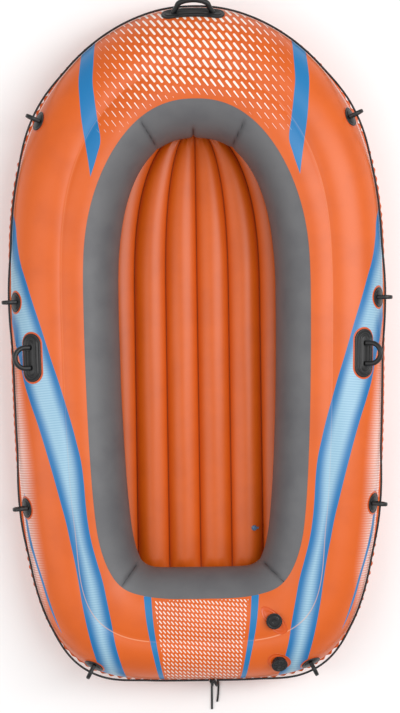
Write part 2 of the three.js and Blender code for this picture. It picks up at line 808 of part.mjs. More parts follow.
function floorBottomSheet() {
  const outline = wallOutline(FLOOR_UNDERSIDE + SKIN, GAP);
  const shape = new THREE.Shape(outline.map((point) => new THREE.Vector2(point.x, point.y)));
  const options = { depth: SKIN, bevelEnabled: false };
  return new THREE.ExtrudeGeometry(shape, options).translate(0, 0, FLOOR_UNDERSIDE);
}

/** A closed disc-shaped tool that cuts a round hole about a frame's z. */
function holeTool(frame, radius) {
  const length = 2 * NECK_DEPTH;
  return rod(radius, length, ROUND_SIDES).applyMatrix4(frame);
}

/** A frame on the ribbed sheet, with z out of the sheet, away from its ends and edges. */
function ribFrame(x, y) {
  const pitch = creasePitch(y);
  const at = (place) => {
    const share = place / pitch - Math.floor(place / pitch);
    const z = ribHeight(y, pitch, share, FLOOR_CREASE_HEIGHT, FLOOR_CREASE_HEIGHT);
    return new THREE.Vector3(place, y, z);
  };
  const across = at(x + 1).sub(at(x - 1)).normalize();
  const normal = new THREE.Vector3().crossVectors(across, Y_AXIS);
  return new THREE.Matrix4().makeBasis(across, Y_AXIS, normal).setPosition(at(x));
}

const floorValveX = FLOOR_VALVE_PITCHES * creasePitch(floorValveY);
const floorValveFrame = ribFrame(floorValveX, floorValveY);

/** How far the ribbed sheet falls away from the floor valve's frame at a distance from it. */
function floorFall(distance) {
  const toFrame = floorValveFrame.clone().invert();
  const fall = (x) => {
    const place = ribFrame(floorValveX + distance * x, floorValveY);
    return -new THREE.Vector3().setFromMatrixPosition(place).applyMatrix4(toFrame).z;
  };
  return RIB_FACET_SAG + largestRound(fall);
}
const mainValves = [
  { name: 'outer_valve', place: placed(OUTER_VALVE) },
  { name: 'inner_valve', place: placed(INNER_VALVE) },
];
for (const valve of mainValves) {
  valve.frame = skinFrame(valve.place.run, valve.place.side, valve.place.degrees);
}

function addHull() {
  const holes = mainValves.map((valve) => holeTool(valve.frame, NECK_RADIUS + GAP));
  add('hull_top_panel', cut(panel(topPanelArcs), holes), ORANGE);
  add('cockpit_wall_panel', panel(wallPanelArcs), GREY);
  add('hull_bottom_panel', panel(bottomPanelArcs), ORANGE);
  add('chamber_baffle', chamberBaffle(), ORANGE);
  add('seam_flange', seamFlange(), ORANGE);
}

function addFloor() {
  const rows = floorRows().map(ribRow);
  const ribbed = sheet(rows, lowered(rows), false);
  add('floor_top_sheet', cut(ribbed, [holeTool(floorValveFrame, FLOOR_VALVE_RADIUS + GAP)]), ORANGE);
  add('floor_bottom_sheet', floorBottomSheet(), ORANGE);
  for (let crease = 1; crease < RIB_COUNT; crease += 1) {
    add(`floor_web_${crease}`, floorWeb(crease), ORANGE);
  }
}

// ---------------------------------------------------------------- rope holders and handles

/** The same place on the other side of the boat. */
function mirrored(place) {
  return { ...place, run: 2 * HALF_RUN - place.run };
}

/** A frame at the place, lifted over a pad of the given thickness. */
function overPad(place, padThickness, extra, degrees) {
  const frame = skinFrame(place.run, place.side, place.degrees);
  return lifted(frame, 2 * GAP + padThickness + extra, degrees);
}

const starboardHolders = HOLDER_SHARES.map((share) => (
  placed({ share, side: OUTER, degrees: HOLDER_ANGLE })
));
const holders = [...starboardHolders, ...starboardHolders.map(mirrored).reverse()];

function addRopeHolders() {
  holders.forEach((place, index) => {
    const number = index + 1;
    const patch = skinPad(place, 2 * PATCH_RADIUS, 2 * PATCH_RADIUS, PATCH_THICKNESS);
    add(`rope_patch_${number}`, patch, BLACK);
    const eye = archShape({
      foot: EYE_WIDTH,
      crown: EYE_WIDTH,
      height: EYE_HEIGHT,
      rise: EYE_WIDTH / 2,
      wall: EYE_WALL,
      drop: skinDrop(place, 0, EYE_WIDTH / 2 - EYE_WALL),
    });
    const geometry = plate(eye, EYE_THICKNESS).applyMatrix4(ACROSS_THE_LINE);
    add(`rope_eye_${number}`, geometry, BLACK, overPad(place, PATCH_THICKNESS, 0, 0));
  });
}

function addOarlocks() {
  const starboard = placed({ share: OARLOCK_SHARE, side: OUTER, degrees: OARLOCK_ANGLE });
  const sides = { starboard, port: mirrored(starboard) };
  const footTilt = (OARLOCK_RING_THICKNESS / 2) * Math.sin(degToRad(OARLOCK_LEAN));
  for (const [side, place] of Object.entries(sides)) {
    const pad = skinPad(place, OARLOCK_PAD_LENGTH, OARLOCK_PAD_WIDTH, OARLOCK_PAD_THICKNESS);
    add(`oarlock_base_${side}`, pad, BLACK);
    const ring = archShape({
      foot: OARLOCK_RING_WIDTH,
      crown: OARLOCK_RING_WIDTH,
      height: OARLOCK_RING_HEIGHT,
      rise: OARLOCK_RING_WIDTH / 2,
      wall: OARLOCK_RING_WALL,
      drop: 0,
    });
    const geometry = plate(ring, OARLOCK_RING_THICKNESS).applyMatrix4(ALONG_THE_LINE);
    const frame = overPad(place, OARLOCK_PAD_THICKNESS, footTilt, -OARLOCK_LEAN);
    add(`oarlock_ring_${side}`, geometry, BLACK, frame);
  }
}

function addBowHandle() {
  const place = { run: 0, side: OUTER, degrees: HANDLE_ANGLE };
  const pad = skinPad(place, HANDLE_PAD_LENGTH, HANDLE_PAD_WIDTH, HANDLE_PAD_THICKNESS);
  add('bow_handle_base', pad, BLACK);
  const grip = archShape({
    foot: HANDLE_FOOT_WIDTH,
    crown: HANDLE_TOP_WIDTH,
    height: HANDLE_HEIGHT,
    rise: HANDLE_RISE,
    wall: HANDLE_WALL,
    drop: skinDrop(place, HANDLE_FOOT_WIDTH / 2 - HANDLE_WALL, 0),
  });
  const gripGeometry = plate(grip, HANDLE_THICKNESS).applyMatrix4(ALONG_THE_LINE);
  add('bow_handle_grip', gripGeometry, BLACK, overPad(place, HANDLE_PAD_THICKNESS, 0, 0));
  const eye = archShape({
    foot: BOW_EYE_WIDTH,
    crown: BOW_EYE_WIDTH,
    height: BOW_EYE_HEIGHT,
    rise: BOW_EYE_WIDTH / 2,
    wall: BOW_EYE_WALL,
    drop: 0,
  });
  const eyeGeometry = plate(eye, BOW_EYE_THICKNESS).applyMatrix4(ACROSS_THE_LINE);
  add('bow_rope_eye', eyeGeometry, BLACK, overPad(place, HANDLE_PAD_THICKNESS, HANDLE_HEIGHT + GAP, 0));
}

// ---------------------------------------------------------------- grab line

/** A place that the grab line is drawn up to, and how high it runs there. */
const ropeSupports = [
  { run: 0, degrees: ROPE_BOW_ANGLE, height: ROPE_BOW_HEIGHT },
  ...holders.map((place) => ({ ...place, height: ROPE_HOLE_HEIGHT })),
];

/** The grab line's centre at a run: drawn up at each support and resting on the skin between. */
function ropePoint(run) {
  const lap = 2 * HALF_RUN;
  let degrees = ROPE_REST_ANGLE;
  let height = ROPE_REST_HEIGHT;
  for (const support of ropeSupports) {
    const apart = Math.abs(((run - support.run + 1.5 * lap) % lap) - HALF_RUN);
    const pull = 1 - smoothstep(apart, ROPE_PULL_START, ROPE_PULL_LENGTH);
    degrees += (support.degrees - ROPE_REST_ANGLE) * pull;
    height += (support.height - ROPE_REST_HEIGHT) * pull;
  }
  return new THREE.Vector3(0, 0, height).applyMatrix4(skinFrame(run, OUTER, degrees));
}

/** A round cord along a list of points. */
function cord(points, steps, sides) {
  const circle = [];
  for (let i = 0; i < sides; i += 1) {
    const turn = (2 * Math.PI * i) / sides;
    circle.push(new THREE.Vector2(ROPE_RADIUS * Math.cos(turn), ROPE_RADIUS * Math.sin(turn)));
  }
  const path = new THREE.CatmullRomCurve3(points, false, 'centripetal');
  return new THREE.ExtrudeGeometry(new THREE.Shape(circle), { steps, extrudePath: path });
}

const KNOT_RUN = HALF_RUN - KNOT_OFFSET;
const knotFrame = lifted(skinFrame(KNOT_RUN, OUTER, ROPE_REST_ANGLE), KNOT_WIDTH / 2 + GAP);

function addGrabLine() {
  const points = [];
  const start = KNOT_RUN + KNOT_LENGTH / 2 + GAP;
  const end = KNOT_RUN + 2 * HALF_RUN - KNOT_LENGTH / 2 - GAP;
  for (let i = 0; i <= ROPE_STEPS; i += 1) {
    points.push(ropePoint(lerp(start, end, i / ROPE_STEPS)));
  }
  add('grab_line', cord(points, ROPE_STEPS, ROPE_SIDES), BLACK);
  const knot = new THREE.SphereGeometry(1, KNOT_SIDES, KNOT_ROWS);
  knot.scale(KNOT_LENGTH / 2, KNOT_WIDTH / 2, KNOT_WIDTH / 2);
  add('stern_knot', knot, BLACK, knotFrame);
}

/**
 * The two tails hang from the knot and lie out behind the boat. Each point is a distance to
 * starboard of the knot, a distance astern of it, and a share of the way down to the ground.
 */
const LONG_TAIL = [
  [-0.5, 7.9, 0.0359],
  [-0.9, 12.8, 0.0673],
  [-1.3, 16.8, 0.1338],
  [-1.7, 20.3, 0.4177],
  [-2.1, 21.3, 0.7801],
  [-2.3, 27.3, 0.9432],
  [-2.5, 44.3, 0.9964],
  [-2.5, 84.3, 1],
  [-2.9, 118.3, 1],
];
const SHORT_TAIL = [
  [7, 7.1, 0.0287],
  [9, 12.8, 0.0673],
  [11.5, 17.3, 0.1338],
  [13.5, 20.3, 0.4177],
  [15, 21.3, 0.7801],
  [16.5, 28.3, 0.9432],
  [17.5, 46.3, 0.9964],
  [16.1, 74.3, 1],
  [13.1, 96.3, 1],
];

function addTails() {
  const knot = new THREE.Vector3().setFromMatrixPosition(knotFrame);
  const toPoints = (list) => list.map(([starboard, astern, fall]) => new THREE.Vector3(
    knot.x + starboard,
    knot.y - astern,
    lerp(knot.z, TAIL_REST_HEIGHT, fall),
  ));
  add('rope_tail_long', cord(toPoints(LONG_TAIL), TAIL_STEPS, ROPE_SIDES), BLACK);
  add('rope_tail_short', cord(toPoints(SHORT_TAIL), TAIL_STEPS, ROPE_SIDES), BLACK);
}

// ---------------------------------------------------------------- valves

/** A neck with a weld flange under the skin. fallAt gives the skin's fall at a radius. */
function valveBase(neckRadius, flangeRadius, depth, rise, fallAt) {
  const bore = neckRadius - NECK_WALL;
  const flangeTop = (radius) => -fallAt(radius) - SKIN - GAP;
  return turned([
    [bore, -depth],
    [neckRadius, -depth],
    [neckRadius, flangeTop(neckRadius) - FLANGE_THICKNESS],
    [flangeRadius, flangeTop(flangeRadius) - FLANGE_THICKNESS],
    [flangeRadius, flangeTop(flangeRadius)],
    [neckRadius, flangeTop(neckRadius)],
    [neckRadius, rise],
    [bore, rise],
  ], ROUND_SIDES);
}

const BORE = NECK_RADIUS - NECK_WALL;
const SEAL_BOTTOM = NECK_RISE + GAP;
const RIM_BOTTOM = SEAL_BOTTOM + SEAL_HEIGHT + GAP;
const RIM_TOP = RIM_BOTTOM + INSERT_RIM;
const SPOUT_TOP = RIM_TOP + SPOUT_HEIGHT;
const STRAP_BOTTOM = RIM_TOP + GAP;
const STRAP_TOP = STRAP_BOTTOM + STRAP_THICKNESS;
const CAP_UNDERSIDE = SPOUT_TOP + GAP;
const CAP_TOP = CAP_UNDERSIDE + CAP_THICKNESS;
const SKIRT_RADIUS = SPOUT_RADIUS + GAP + SKIRT_WALL;

function valveInsert() {
  const body = BORE * Math.cos(Math.PI / ROUND_SIDES) - GAP; // its corners pass the bore's flats
  return turned([
    [PASSAGE_RADIUS, -INSERT_DEPTH],
    [body, -INSERT_DEPTH],
    [body, RIM_BOTTOM],
    [NECK_RADIUS, RIM_BOTTOM],
    [NECK_RADIUS, RIM_TOP],
    [SPOUT_RADIUS, RIM_TOP],
    [SPOUT_RADIUS, SPOUT_TOP],
    [PASSAGE_RADIUS, SPOUT_TOP],
  ], ROUND_SIDES);
}

function valveCap() {
  const bore = SPOUT_RADIUS + GAP;
  return turned([
    [0, CAP_UNDERSIDE],
    [bore, CAP_UNDERSIDE],
    [bore, STRAP_TOP + GAP],
    [SKIRT_RADIUS, STRAP_TOP + GAP],
    [SKIRT_RADIUS, CAP_UNDERSIDE],
    [CAP_RADIUS, CAP_UNDERSIDE],
    [CAP_RADIUS, CAP_TOP],
    [CAP_RING_RADIUS, CAP_TOP],
    [CAP_RING_RADIUS - CAP_GROOVE_WIDTH / 2, CAP_TOP - CAP_GROOVE],
    [CAP_RING_RADIUS - CAP_GROOVE_WIDTH, CAP_TOP],
    [CAP_DIMPLE_RADIUS, CAP_TOP],
    [0, CAP_TOP - CAP_GROOVE],
  ], ROUND_SIDES);
}

/** A flat collar with a tab on +X, which ties a cap to its valve. */
function collar(innerRadius, outerRadius, low, thickness, tabReach, tabWidth) {
  const ring = turned([
    [innerRadius, low],
    [outerRadius, low],
    [outerRadius, low + thickness],
    [innerRadius, low + thickness],
  ], ROUND_SIDES);
  const tabStart = (innerRadius + outerRadius) / 2;
  const tab = new THREE.BoxGeometry(tabReach - tabStart, tabWidth, TAB_THICKNESS_SHARE * thickness);
  tab.translate((tabStart + tabReach) / 2, 0, low + thickness / 2);
  return toGeometry(toSolid(ring).add(toSolid(tab)));
}

/** One chamber's valve: a welded base and a screwed insert with its seal, flap, strap and cap. */
function addMainValve({ name, place, frame }) {
  const fallAt = (radius) => hullFall(place, radius);
  const base = valveBase(NECK_RADIUS, WELD_FLANGE_RADIUS, NECK_DEPTH, NECK_RISE, fallAt);
  add(`${name}_base`, base, BLACK, frame);
  const seal = turned([
    [BORE, SEAL_BOTTOM],
    [NECK_RADIUS, SEAL_BOTTOM],
    [NECK_RADIUS, SEAL_BOTTOM + SEAL_HEIGHT],
    [BORE, SEAL_BOTTOM + SEAL_HEIGHT],
  ], ROUND_SIDES);
  add(`${name}_seal`, seal, BLACK, frame);
  add(`${name}_insert`, valveInsert(), BLACK, frame);
  const flap = rod(FLAP_RADIUS, FLAP_THICKNESS, ROUND_SIDES);
  flap.translate(0, 0, -INSERT_DEPTH - GAP - FLAP_THICKNESS / 2);
  add(`${name}_flap`, flap, BLACK, frame);
  const strap = collar(
    SPOUT_RADIUS + GAP,
    NECK_RADIUS,
    STRAP_BOTTOM,
    STRAP_THICKNESS,
    CAP_RADIUS,
    STRAP_TAB_WIDTH,
  );
  add(`${name}_strap`, strap, BLACK, frame);
  add(`${name}_cap`, valveCap(), BLACK, frame);
}

/** The air floor's small valve: a stem that pulls up and a plug that closes it. */
function addFloorValve() {
  const bore = FLOOR_VALVE_RADIUS - NECK_WALL;
  const base = valveBase(
    FLOOR_VALVE_RADIUS,
    FLOOR_VALVE_FLANGE,
    FLOOR_NECK_DEPTH,
    FLOOR_NECK_RISE,
    floorFall,
  );
  add('floor_valve_base', base, CLEAR, floorValveFrame);
  const rimBottom = FLOOR_NECK_RISE + GAP;
  const rimTop = rimBottom + FLOOR_RIM;
  const stem = turned([
    [PLUG_RADIUS + GAP, -FLOOR_STEM_DEPTH],
    [bore - GAP, -FLOOR_STEM_DEPTH],
    [bore - GAP, rimBottom],
    [FLOOR_VALVE_RADIUS, rimBottom],
    [FLOOR_VALVE_RADIUS, rimTop],
    [PLUG_RADIUS + GAP, rimTop],
  ], ROUND_SIDES);
  add('floor_valve_stem', stem, CLEAR, floorValveFrame);
  const strapBottom = rimTop + GAP;
  const strap = collar(
    PLUG_RADIUS + GAP,
    FLOOR_VALVE_RADIUS,
    strapBottom,
    FLOOR_STRAP_THICKNESS,
    FLOOR_VALVE_FLANGE,
    FLOOR_TAB_WIDTH,
  );
  add('floor_valve_strap', strap, CLEAR, floorValveFrame);
  const headBottom = strapBottom + FLOOR_STRAP_THICKNESS + GAP;
  const plug = turned([
    [0, headBottom - PLUG_LENGTH],
    [PLUG_RADIUS, headBottom - PLUG_LENGTH],
    [PLUG_RADIUS, headBottom],
    [PLUG_HEAD_RADIUS, headBottom],
    [PLUG_HEAD_RADIUS, headBottom + PLUG_HEAD_HEIGHT],
    [0, headBottom + PLUG_HEAD_HEIGHT],
  ], ROUND_SIDES);
  add('floor_valve_plug', plug, CLEAR, floorValveFrame);
}

addHull();
addFloor();
addRopeHolders();
addOarlocks();
addBowHandle();
addGrabLine();
addTails();
mainValves.forEach(addMainValve);
addFloorValve();

export default boat;
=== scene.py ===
"""A two-chamber inflatable boat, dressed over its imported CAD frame.

The hull skins, air floor, fittings, ropes and valves are rebuilt as detailed meshes that
ride on the frame's bodies. +X is starboard, +Y is the bow and +Z is up, in metres.
"""

import logging
import math
from dataclasses import dataclass, field
from enum import Enum
from functools import partial
from typing import Callable, Sequence

import bmesh
import bpy
from mathutils import Matrix, Vector, noise

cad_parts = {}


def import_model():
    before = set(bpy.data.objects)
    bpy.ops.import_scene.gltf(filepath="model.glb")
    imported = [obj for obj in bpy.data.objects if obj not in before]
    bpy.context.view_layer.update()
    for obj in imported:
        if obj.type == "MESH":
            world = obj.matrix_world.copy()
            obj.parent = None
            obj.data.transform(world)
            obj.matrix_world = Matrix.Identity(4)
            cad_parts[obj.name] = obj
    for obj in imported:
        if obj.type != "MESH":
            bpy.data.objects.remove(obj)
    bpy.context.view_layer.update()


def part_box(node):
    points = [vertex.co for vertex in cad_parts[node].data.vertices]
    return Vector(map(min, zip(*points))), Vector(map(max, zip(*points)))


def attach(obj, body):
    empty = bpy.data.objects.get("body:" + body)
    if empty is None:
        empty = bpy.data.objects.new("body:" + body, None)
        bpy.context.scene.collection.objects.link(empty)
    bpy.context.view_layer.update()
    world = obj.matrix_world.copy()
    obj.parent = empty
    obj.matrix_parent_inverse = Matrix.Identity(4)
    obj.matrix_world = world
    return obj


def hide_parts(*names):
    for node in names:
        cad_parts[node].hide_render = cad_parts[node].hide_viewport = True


LOG = logging.getLogger("boat")
MM = 0.001
HULL_BODY = "hull"


# ---------------------------------------------------------------- small helpers

def clamp(value: float, low: float, high: float) -> float:
    """The value kept between low and high."""
    return max(low, min(high, value))


def lerp(a: float, b: float, share: float) -> float:
    """The value at a share of the way from a to b."""
    return a + (b - a) * share


def smoothstep(value: float, low: float, high: float) -> float:
    """A smooth rise from 0 at low to 1 at high."""
    share = clamp((value - low) / (high - low), 0.0, 1.0)
    return share * share * (3 - 2 * share)


def linear(hex_colour: str) -> tuple[float, float, float, float]:
    """Turns an sRGB hex colour into linear RGBA.

    Args:
        hex_colour: Six hex digits, with or without a leading hash.

    Returns:
        The linear colour with an alpha of 1.
    """
    digits = hex_colour.lstrip("#")
    channels = []
    for start in (0, 2, 4):
        value = int(digits[start:start + 2], 16) / 255
        channels.append(value / 12.92 if value <= 0.04045 else ((value + 0.055) / 1.055) ** 2.4)
    return (*channels, 1.0)


def add_node(tree: bpy.types.NodeTree, kind: str, settings: dict | None = None,
             links: dict | None = None) -> bpy.types.Node:
    """Adds a node with its settings and links.

    Args:
        tree: The node tree that takes the node.
        kind: The node's Blender type name.
        settings: Attributes by name, and input values by socket name or index.
        links: Output sockets, or nodes for their first output, by the input that each goes to.

    Returns:
        The new node.
    """
    node = tree.nodes.new(kind)
    for key, value in (settings or {}).items():
        if isinstance(key, str) and hasattr(node, key):
            setattr(node, key, value)
        else:
            node.inputs[key].default_value = value
    for key, source in (links or {}).items():
        socket = source.outputs[0] if isinstance(source, bpy.types.Node) else source
        tree.links.new(socket, node.inputs[key])
    return node


def mesh_object(name: str, vertices: Sequence[Vector], faces: Sequence[Sequence[int]],
                smooth: bool = True) -> bpy.types.Object:
    """Makes a linked mesh object from points and faces.

    Args:
        name: The object's name.
        vertices: Its points, in metres.
        faces: Its faces, as lists of point numbers.
        smooth: Whether its faces are shaded smooth.

    Returns:
        The new object.
    """
    mesh = bpy.data.meshes.new(name)
    mesh.from_pydata([tuple(point) for point in vertices], [], [tuple(face) for face in faces])
    mesh.validate()
    mesh.update()
    shaped = bmesh.new()
    shaped.from_mesh(mesh)
    bmesh.ops.recalc_face_normals(shaped, faces=shaped.faces)
    for face in shaped.faces:
        face.smooth = smooth
    shaped.to_mesh(mesh)
    shaped.free()
    made = bpy.data.objects.new(name, mesh)
    bpy.context.scene.collection.objects.link(made)
    return made


def finish_piece(piece: bpy.types.Object, body: str, material: bpy.types.Material,
                 replaced: Sequence[str] = ()) -> bpy.types.Object:
    """Dresses a piece, rides it on its body and hides the CAD nodes that it stands for.

    Args:
        piece: The finished piece.
        body: The frame's body that carries it.
        material: Its finish.
        replaced: The CAD nodes that it stands for.

    Returns:
        The same piece.
    """
    piece.data.materials.clear()
    piece.data.materials.append(material)
    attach(piece, body)
    if replaced:
        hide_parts(*replaced)
    LOG.info("%s rides on %s", piece.name, body)
    return piece


# ---------------------------------------------------------------- hull form

@dataclass(frozen=True)
class HalfPlan:
    """One outline of the hull in plan: a bow half and a stern half that meet at the beam."""

    half_width: float
    bow_length: float
    stern_length: float
    beam_power: float
    bow_power: float
    stern_power: float
    taper: float
    taper_power: float

    def half_width_at(self, y: float, beam_y: float) -> float:
        """The outline's half-width at a given y.

        Args:
            y: The place along the hull.
            beam_y: The place of the widest line.

        Returns:
            The half-width, or 0 beyond the outline's ends.
        """
        ahead = y > beam_y
        length = self.bow_length if ahead else self.stern_length
        share = abs(y - beam_y) / length
        if share >= 1:
            return 0.0
        power = lerp(self.beam_power, self.bow_power, share) if ahead else self.stern_power
        taper = 0.0 if ahead else self.taper * share ** self.taper_power
        return self.half_width * (1 - taper) * (1 - share ** power) ** (1 / power)


@dataclass(frozen=True)
class Station:
    """A cross-section of the hull tube."""

    run: float
    outer: Vector
    inner: Vector
    radius: float
    half_width: float
    centre_z: float
    coaming: float
    baffle_share: float

    @property
    def offset(self) -> float:
        """The distance of each lobe's centre from the baffle."""
        return self.half_width - self.radius

    def point(self, out: float, height: float) -> Vector:
        """The place at a distance out from the baffle and a height over the tube's centre.

        Args:
            out: Distance outboard of the baffle, negative inboard.
            height: Height over the centre of the lobes.

        Returns:
            The point in the boat's frame.
        """
        reach = out / self.half_width
        room = self.baffle_share if out < 0 else 1 - self.baffle_share
        plan = self.inner.lerp(self.outer, self.baffle_share + room * reach)
        return Vector((plan.x, plan.y, self.centre_z + height))

    def lobe(self, side: int, angle: float, inset: float = 0.0) -> Vector:
        """A point of a lobe's skin.

        Args:
            side: 1 for the outer lobe and -1 for the inner.
            angle: Angle over the lobe's equator, in radians.
            inset: Distance under the skin.

        Returns:
            The point, kept above the ground.
        """
        radius = self.radius - inset
        out = side * (self.offset + radius * math.cos(angle))
        found = self.point(out, radius * math.sin(angle))
        found.z = max(found.z, inset)
        return found

    @property
    def crease_angle(self) -> float:
        """The angle where the lobes meet over the baffle."""
        return math.acos(-self.offset / self.radius)

    @property
    def coaming_angle(self) -> float:
        """The angle over the inner lobe's equator where the lining starts."""
        return math.acos((self.coaming - self.offset) / self.radius)


OUTER = 1
INNER = -1

# Places along the edge, as shares of the way from the bow to the stern, and angles over a lobe.
HOLDER_SHARES = (0.229, 0.439, 0.668, 0.873)
HOLDER_DEGREES = 32
OARLOCK_SHARE = 0.501
OARLOCK_DEGREES = 62
OUTER_VALVE_SHARE = 0.904
OUTER_VALVE_DEGREES = 63
INNER_VALVE_SHARE = 0.875
INNER_VALVE_DEGREES = 90


@dataclass
class HullForm:
    """The hull's driving sizes and the places worked out from them, as the CAD frame has them."""

    beam_y: float = 138 * MM
    outer: HalfPlan = HalfPlan(540.5 * MM, 828 * MM, 1118 * MM, 2.85, 2.1, 4.2, 0.045, 1)
    inner: HalfPlan = HalfPlan(228.5 * MM, 453 * MM, 796 * MM, 2.4, 2.4, 10, 0.15, 2)
    bow_pivot: float = 225 * MM
    stern_pivot: float = -525 * MM
    stern_baffle_share: float = 0.61
    side_width: float = 312 * MM
    bow_width: float = 375 * MM
    side_radius: float = 123 * MM
    bow_radius: float = 136 * MM
    ground_sink: float = 2.5 * MM
    side_coaming: float = 62 * MM
    end_coaming: float = 96 * MM
    seam_width: float = 7 * MM
    edge_steps: int = 1440
    edge: list[Vector] = field(default_factory=list)
    runs: list[float] = field(default_factory=list)

    def __post_init__(self) -> None:
        """Measures the outer edge from the bow to the stern."""
        for i in range(self.edge_steps + 1):
            turn = math.pi * i / self.edge_steps
            ahead = turn < math.pi / 2
            power = self.outer.bow_power if ahead else self.outer.stern_power
            length = self.outer.bow_length if ahead else self.outer.stern_length
            along = abs(math.cos(turn)) ** (2 / power)
            y = self.beam_y + (1 if ahead else -1) * length * along
            self.edge.append(Vector((self.outer.half_width_at(y, self.beam_y), y)))
        self.runs.append(0.0)
        for a, b in zip(self.edge, self.edge[1:]):
            self.runs.append(self.runs[-1] + (b - a).length)

    @property
    def half_run(self) -> float:
        """The length of the edge from the bow to the stern."""
        return self.runs[-1]

    def edge_point(self, run: float) -> Vector:
        """The point of the outer edge at a run from the bow, clockwise from above.

        Args:
            run: Distance along the edge. Past the stern, or negative, it is on the port side.

        Returns:
            The point in plan.
        """
        lap = 2 * self.half_run
        wrapped = (run + self.half_run) % lap - self.half_run
        distance = min(abs(wrapped), self.half_run)
        low, high = 0, len(self.runs) - 1
        while high - low > 1:
            middle = (low + high) // 2
            if self.runs[middle] < distance:
                low = middle
            else:
                high = middle
        share = (distance - self.runs[low]) / (self.runs[high] - self.runs[low])
        found = self.edge[low].lerp(self.edge[high], share)
        if wrapped < 0:
            found.x = -found.x
        return found

    def station(self, run: float) -> Station:
        """The cross-section at a run from the bow.

        Args:
            run: Distance along the edge from the bow.

        Returns:
            The section's ends in plan and its sizes.
        """
        outer = self.edge_point(run)
        pivot = Vector((0.0, clamp(outer.y, self.stern_pivot, self.bow_pivot)))
        near, far = 0.0, 1.0
        for _ in range(32):
            middle = (near + far) / 2
            tried = pivot.lerp(outer, middle)
            if abs(tried.x) < self.inner.half_width_at(tried.y, self.beam_y):
                near = middle
            else:
                far = middle
        bow_share = smoothstep(outer.y, self.bow_pivot, self.beam_y + self.outer.bow_length)
        stern_end = self.outer.stern_length - self.beam_y
        stern_share = smoothstep(-outer.y, -self.stern_pivot, stern_end)
        radius = lerp(self.side_radius, self.bow_radius, bow_share)
        return Station(
            run=run,
            outer=outer,
            inner=pivot.lerp(outer, (near + far) / 2),
            radius=radius,
            half_width=lerp(self.side_width, self.bow_width, bow_share) / 2,
            centre_z=radius - self.ground_sink,
            coaming=lerp(self.side_coaming, self.end_coaming, max(bow_share, stern_share)),
            baffle_share=lerp(0.5, self.stern_baffle_share, stern_share),
        )

    def skin_point(self, run: float, side: int, degrees: float) -> Vector:
        """A point of the skin at a run, a lobe and an angle over its equator."""
        return self.station(run).lobe(side, math.radians(degrees))

    def skin_frame(self, run: float, side: int, degrees: float) -> Matrix:
        """A frame on the skin: x along the hull, y across it and z out of it.

        Args:
            run: Distance along the edge from the bow.
            side: The lobe.
            degrees: Angle over the lobe's equator.

        Returns:
            The frame as a 4x4 matrix.
        """
        step, turn = 1 * MM, 0.6
        along = self.skin_point(run + step, side, degrees) - self.skin_point(run - step, side, degrees)
        around = self.skin_point(run, side, degrees + turn) - self.skin_point(run, side, degrees - turn)
        along.normalize()
        normal = around.cross(along).normalized()
        if normal.z < 0:
            normal.negate()
        across = normal.cross(along).normalized()
        frame = Matrix((along, across, normal)).transposed().to_4x4()
        frame.translation = self.skin_point(run, side, degrees)
        return frame


def lifted(frame: Matrix, height: float, degrees: float = 0.0) -> Matrix:
    """A frame lifted along its own z and turned about its own x."""
    return frame @ Matrix.Translation((0, 0, height)) @ Matrix.Rotation(math.radians(degrees), 4, "X")


# ---------------------------------------------------------------- finishes

Adder = Callable[..., bpy.types.Node]
MATH = "ShaderNodeMath"
RANGE = "ShaderNodeMapRange"
MIX = "ShaderNodeMix"
NOISE = "ShaderNodeTexNoise"
ABSOLUTE = {"operation": "ABSOLUTE"}
DIVIDE = {"operation": "DIVIDE"}
MULTIPLY = {"operation": "MULTIPLY"}
MULTIPLY_ADD = {"operation": "MULTIPLY_ADD"}
ROUND = {"operation": "ROUND"}
SUBTRACT = {"operation": "SUBTRACT"}
RISE = {"interpolation_type": "SMOOTHSTEP"}  # a smooth step up from 0 to 1
FALL = {"interpolation_type": "SMOOTHSTEP", 3: 1.0, 4: 0.0}  # a smooth step down from 1 to 0
COLOUR = {"data_type": "RGBA"}


def new_material(name: str) -> tuple[bpy.types.Material, Adder, bpy.types.Node]:
    """Makes an empty node material.

    Args:
        name: The material's name.

    Returns:
        The material, the function that adds a node to it and its Principled shader.
    """
    material = bpy.data.materials.new(name)
    material.use_nodes = True
    material.node_tree.nodes.clear()
    add = partial(add_node, material.node_tree)
    shader = add("ShaderNodeBsdfPrincipled")
    add("ShaderNodeOutputMaterial", {}, {"Surface": shader})
    return material, add, shader


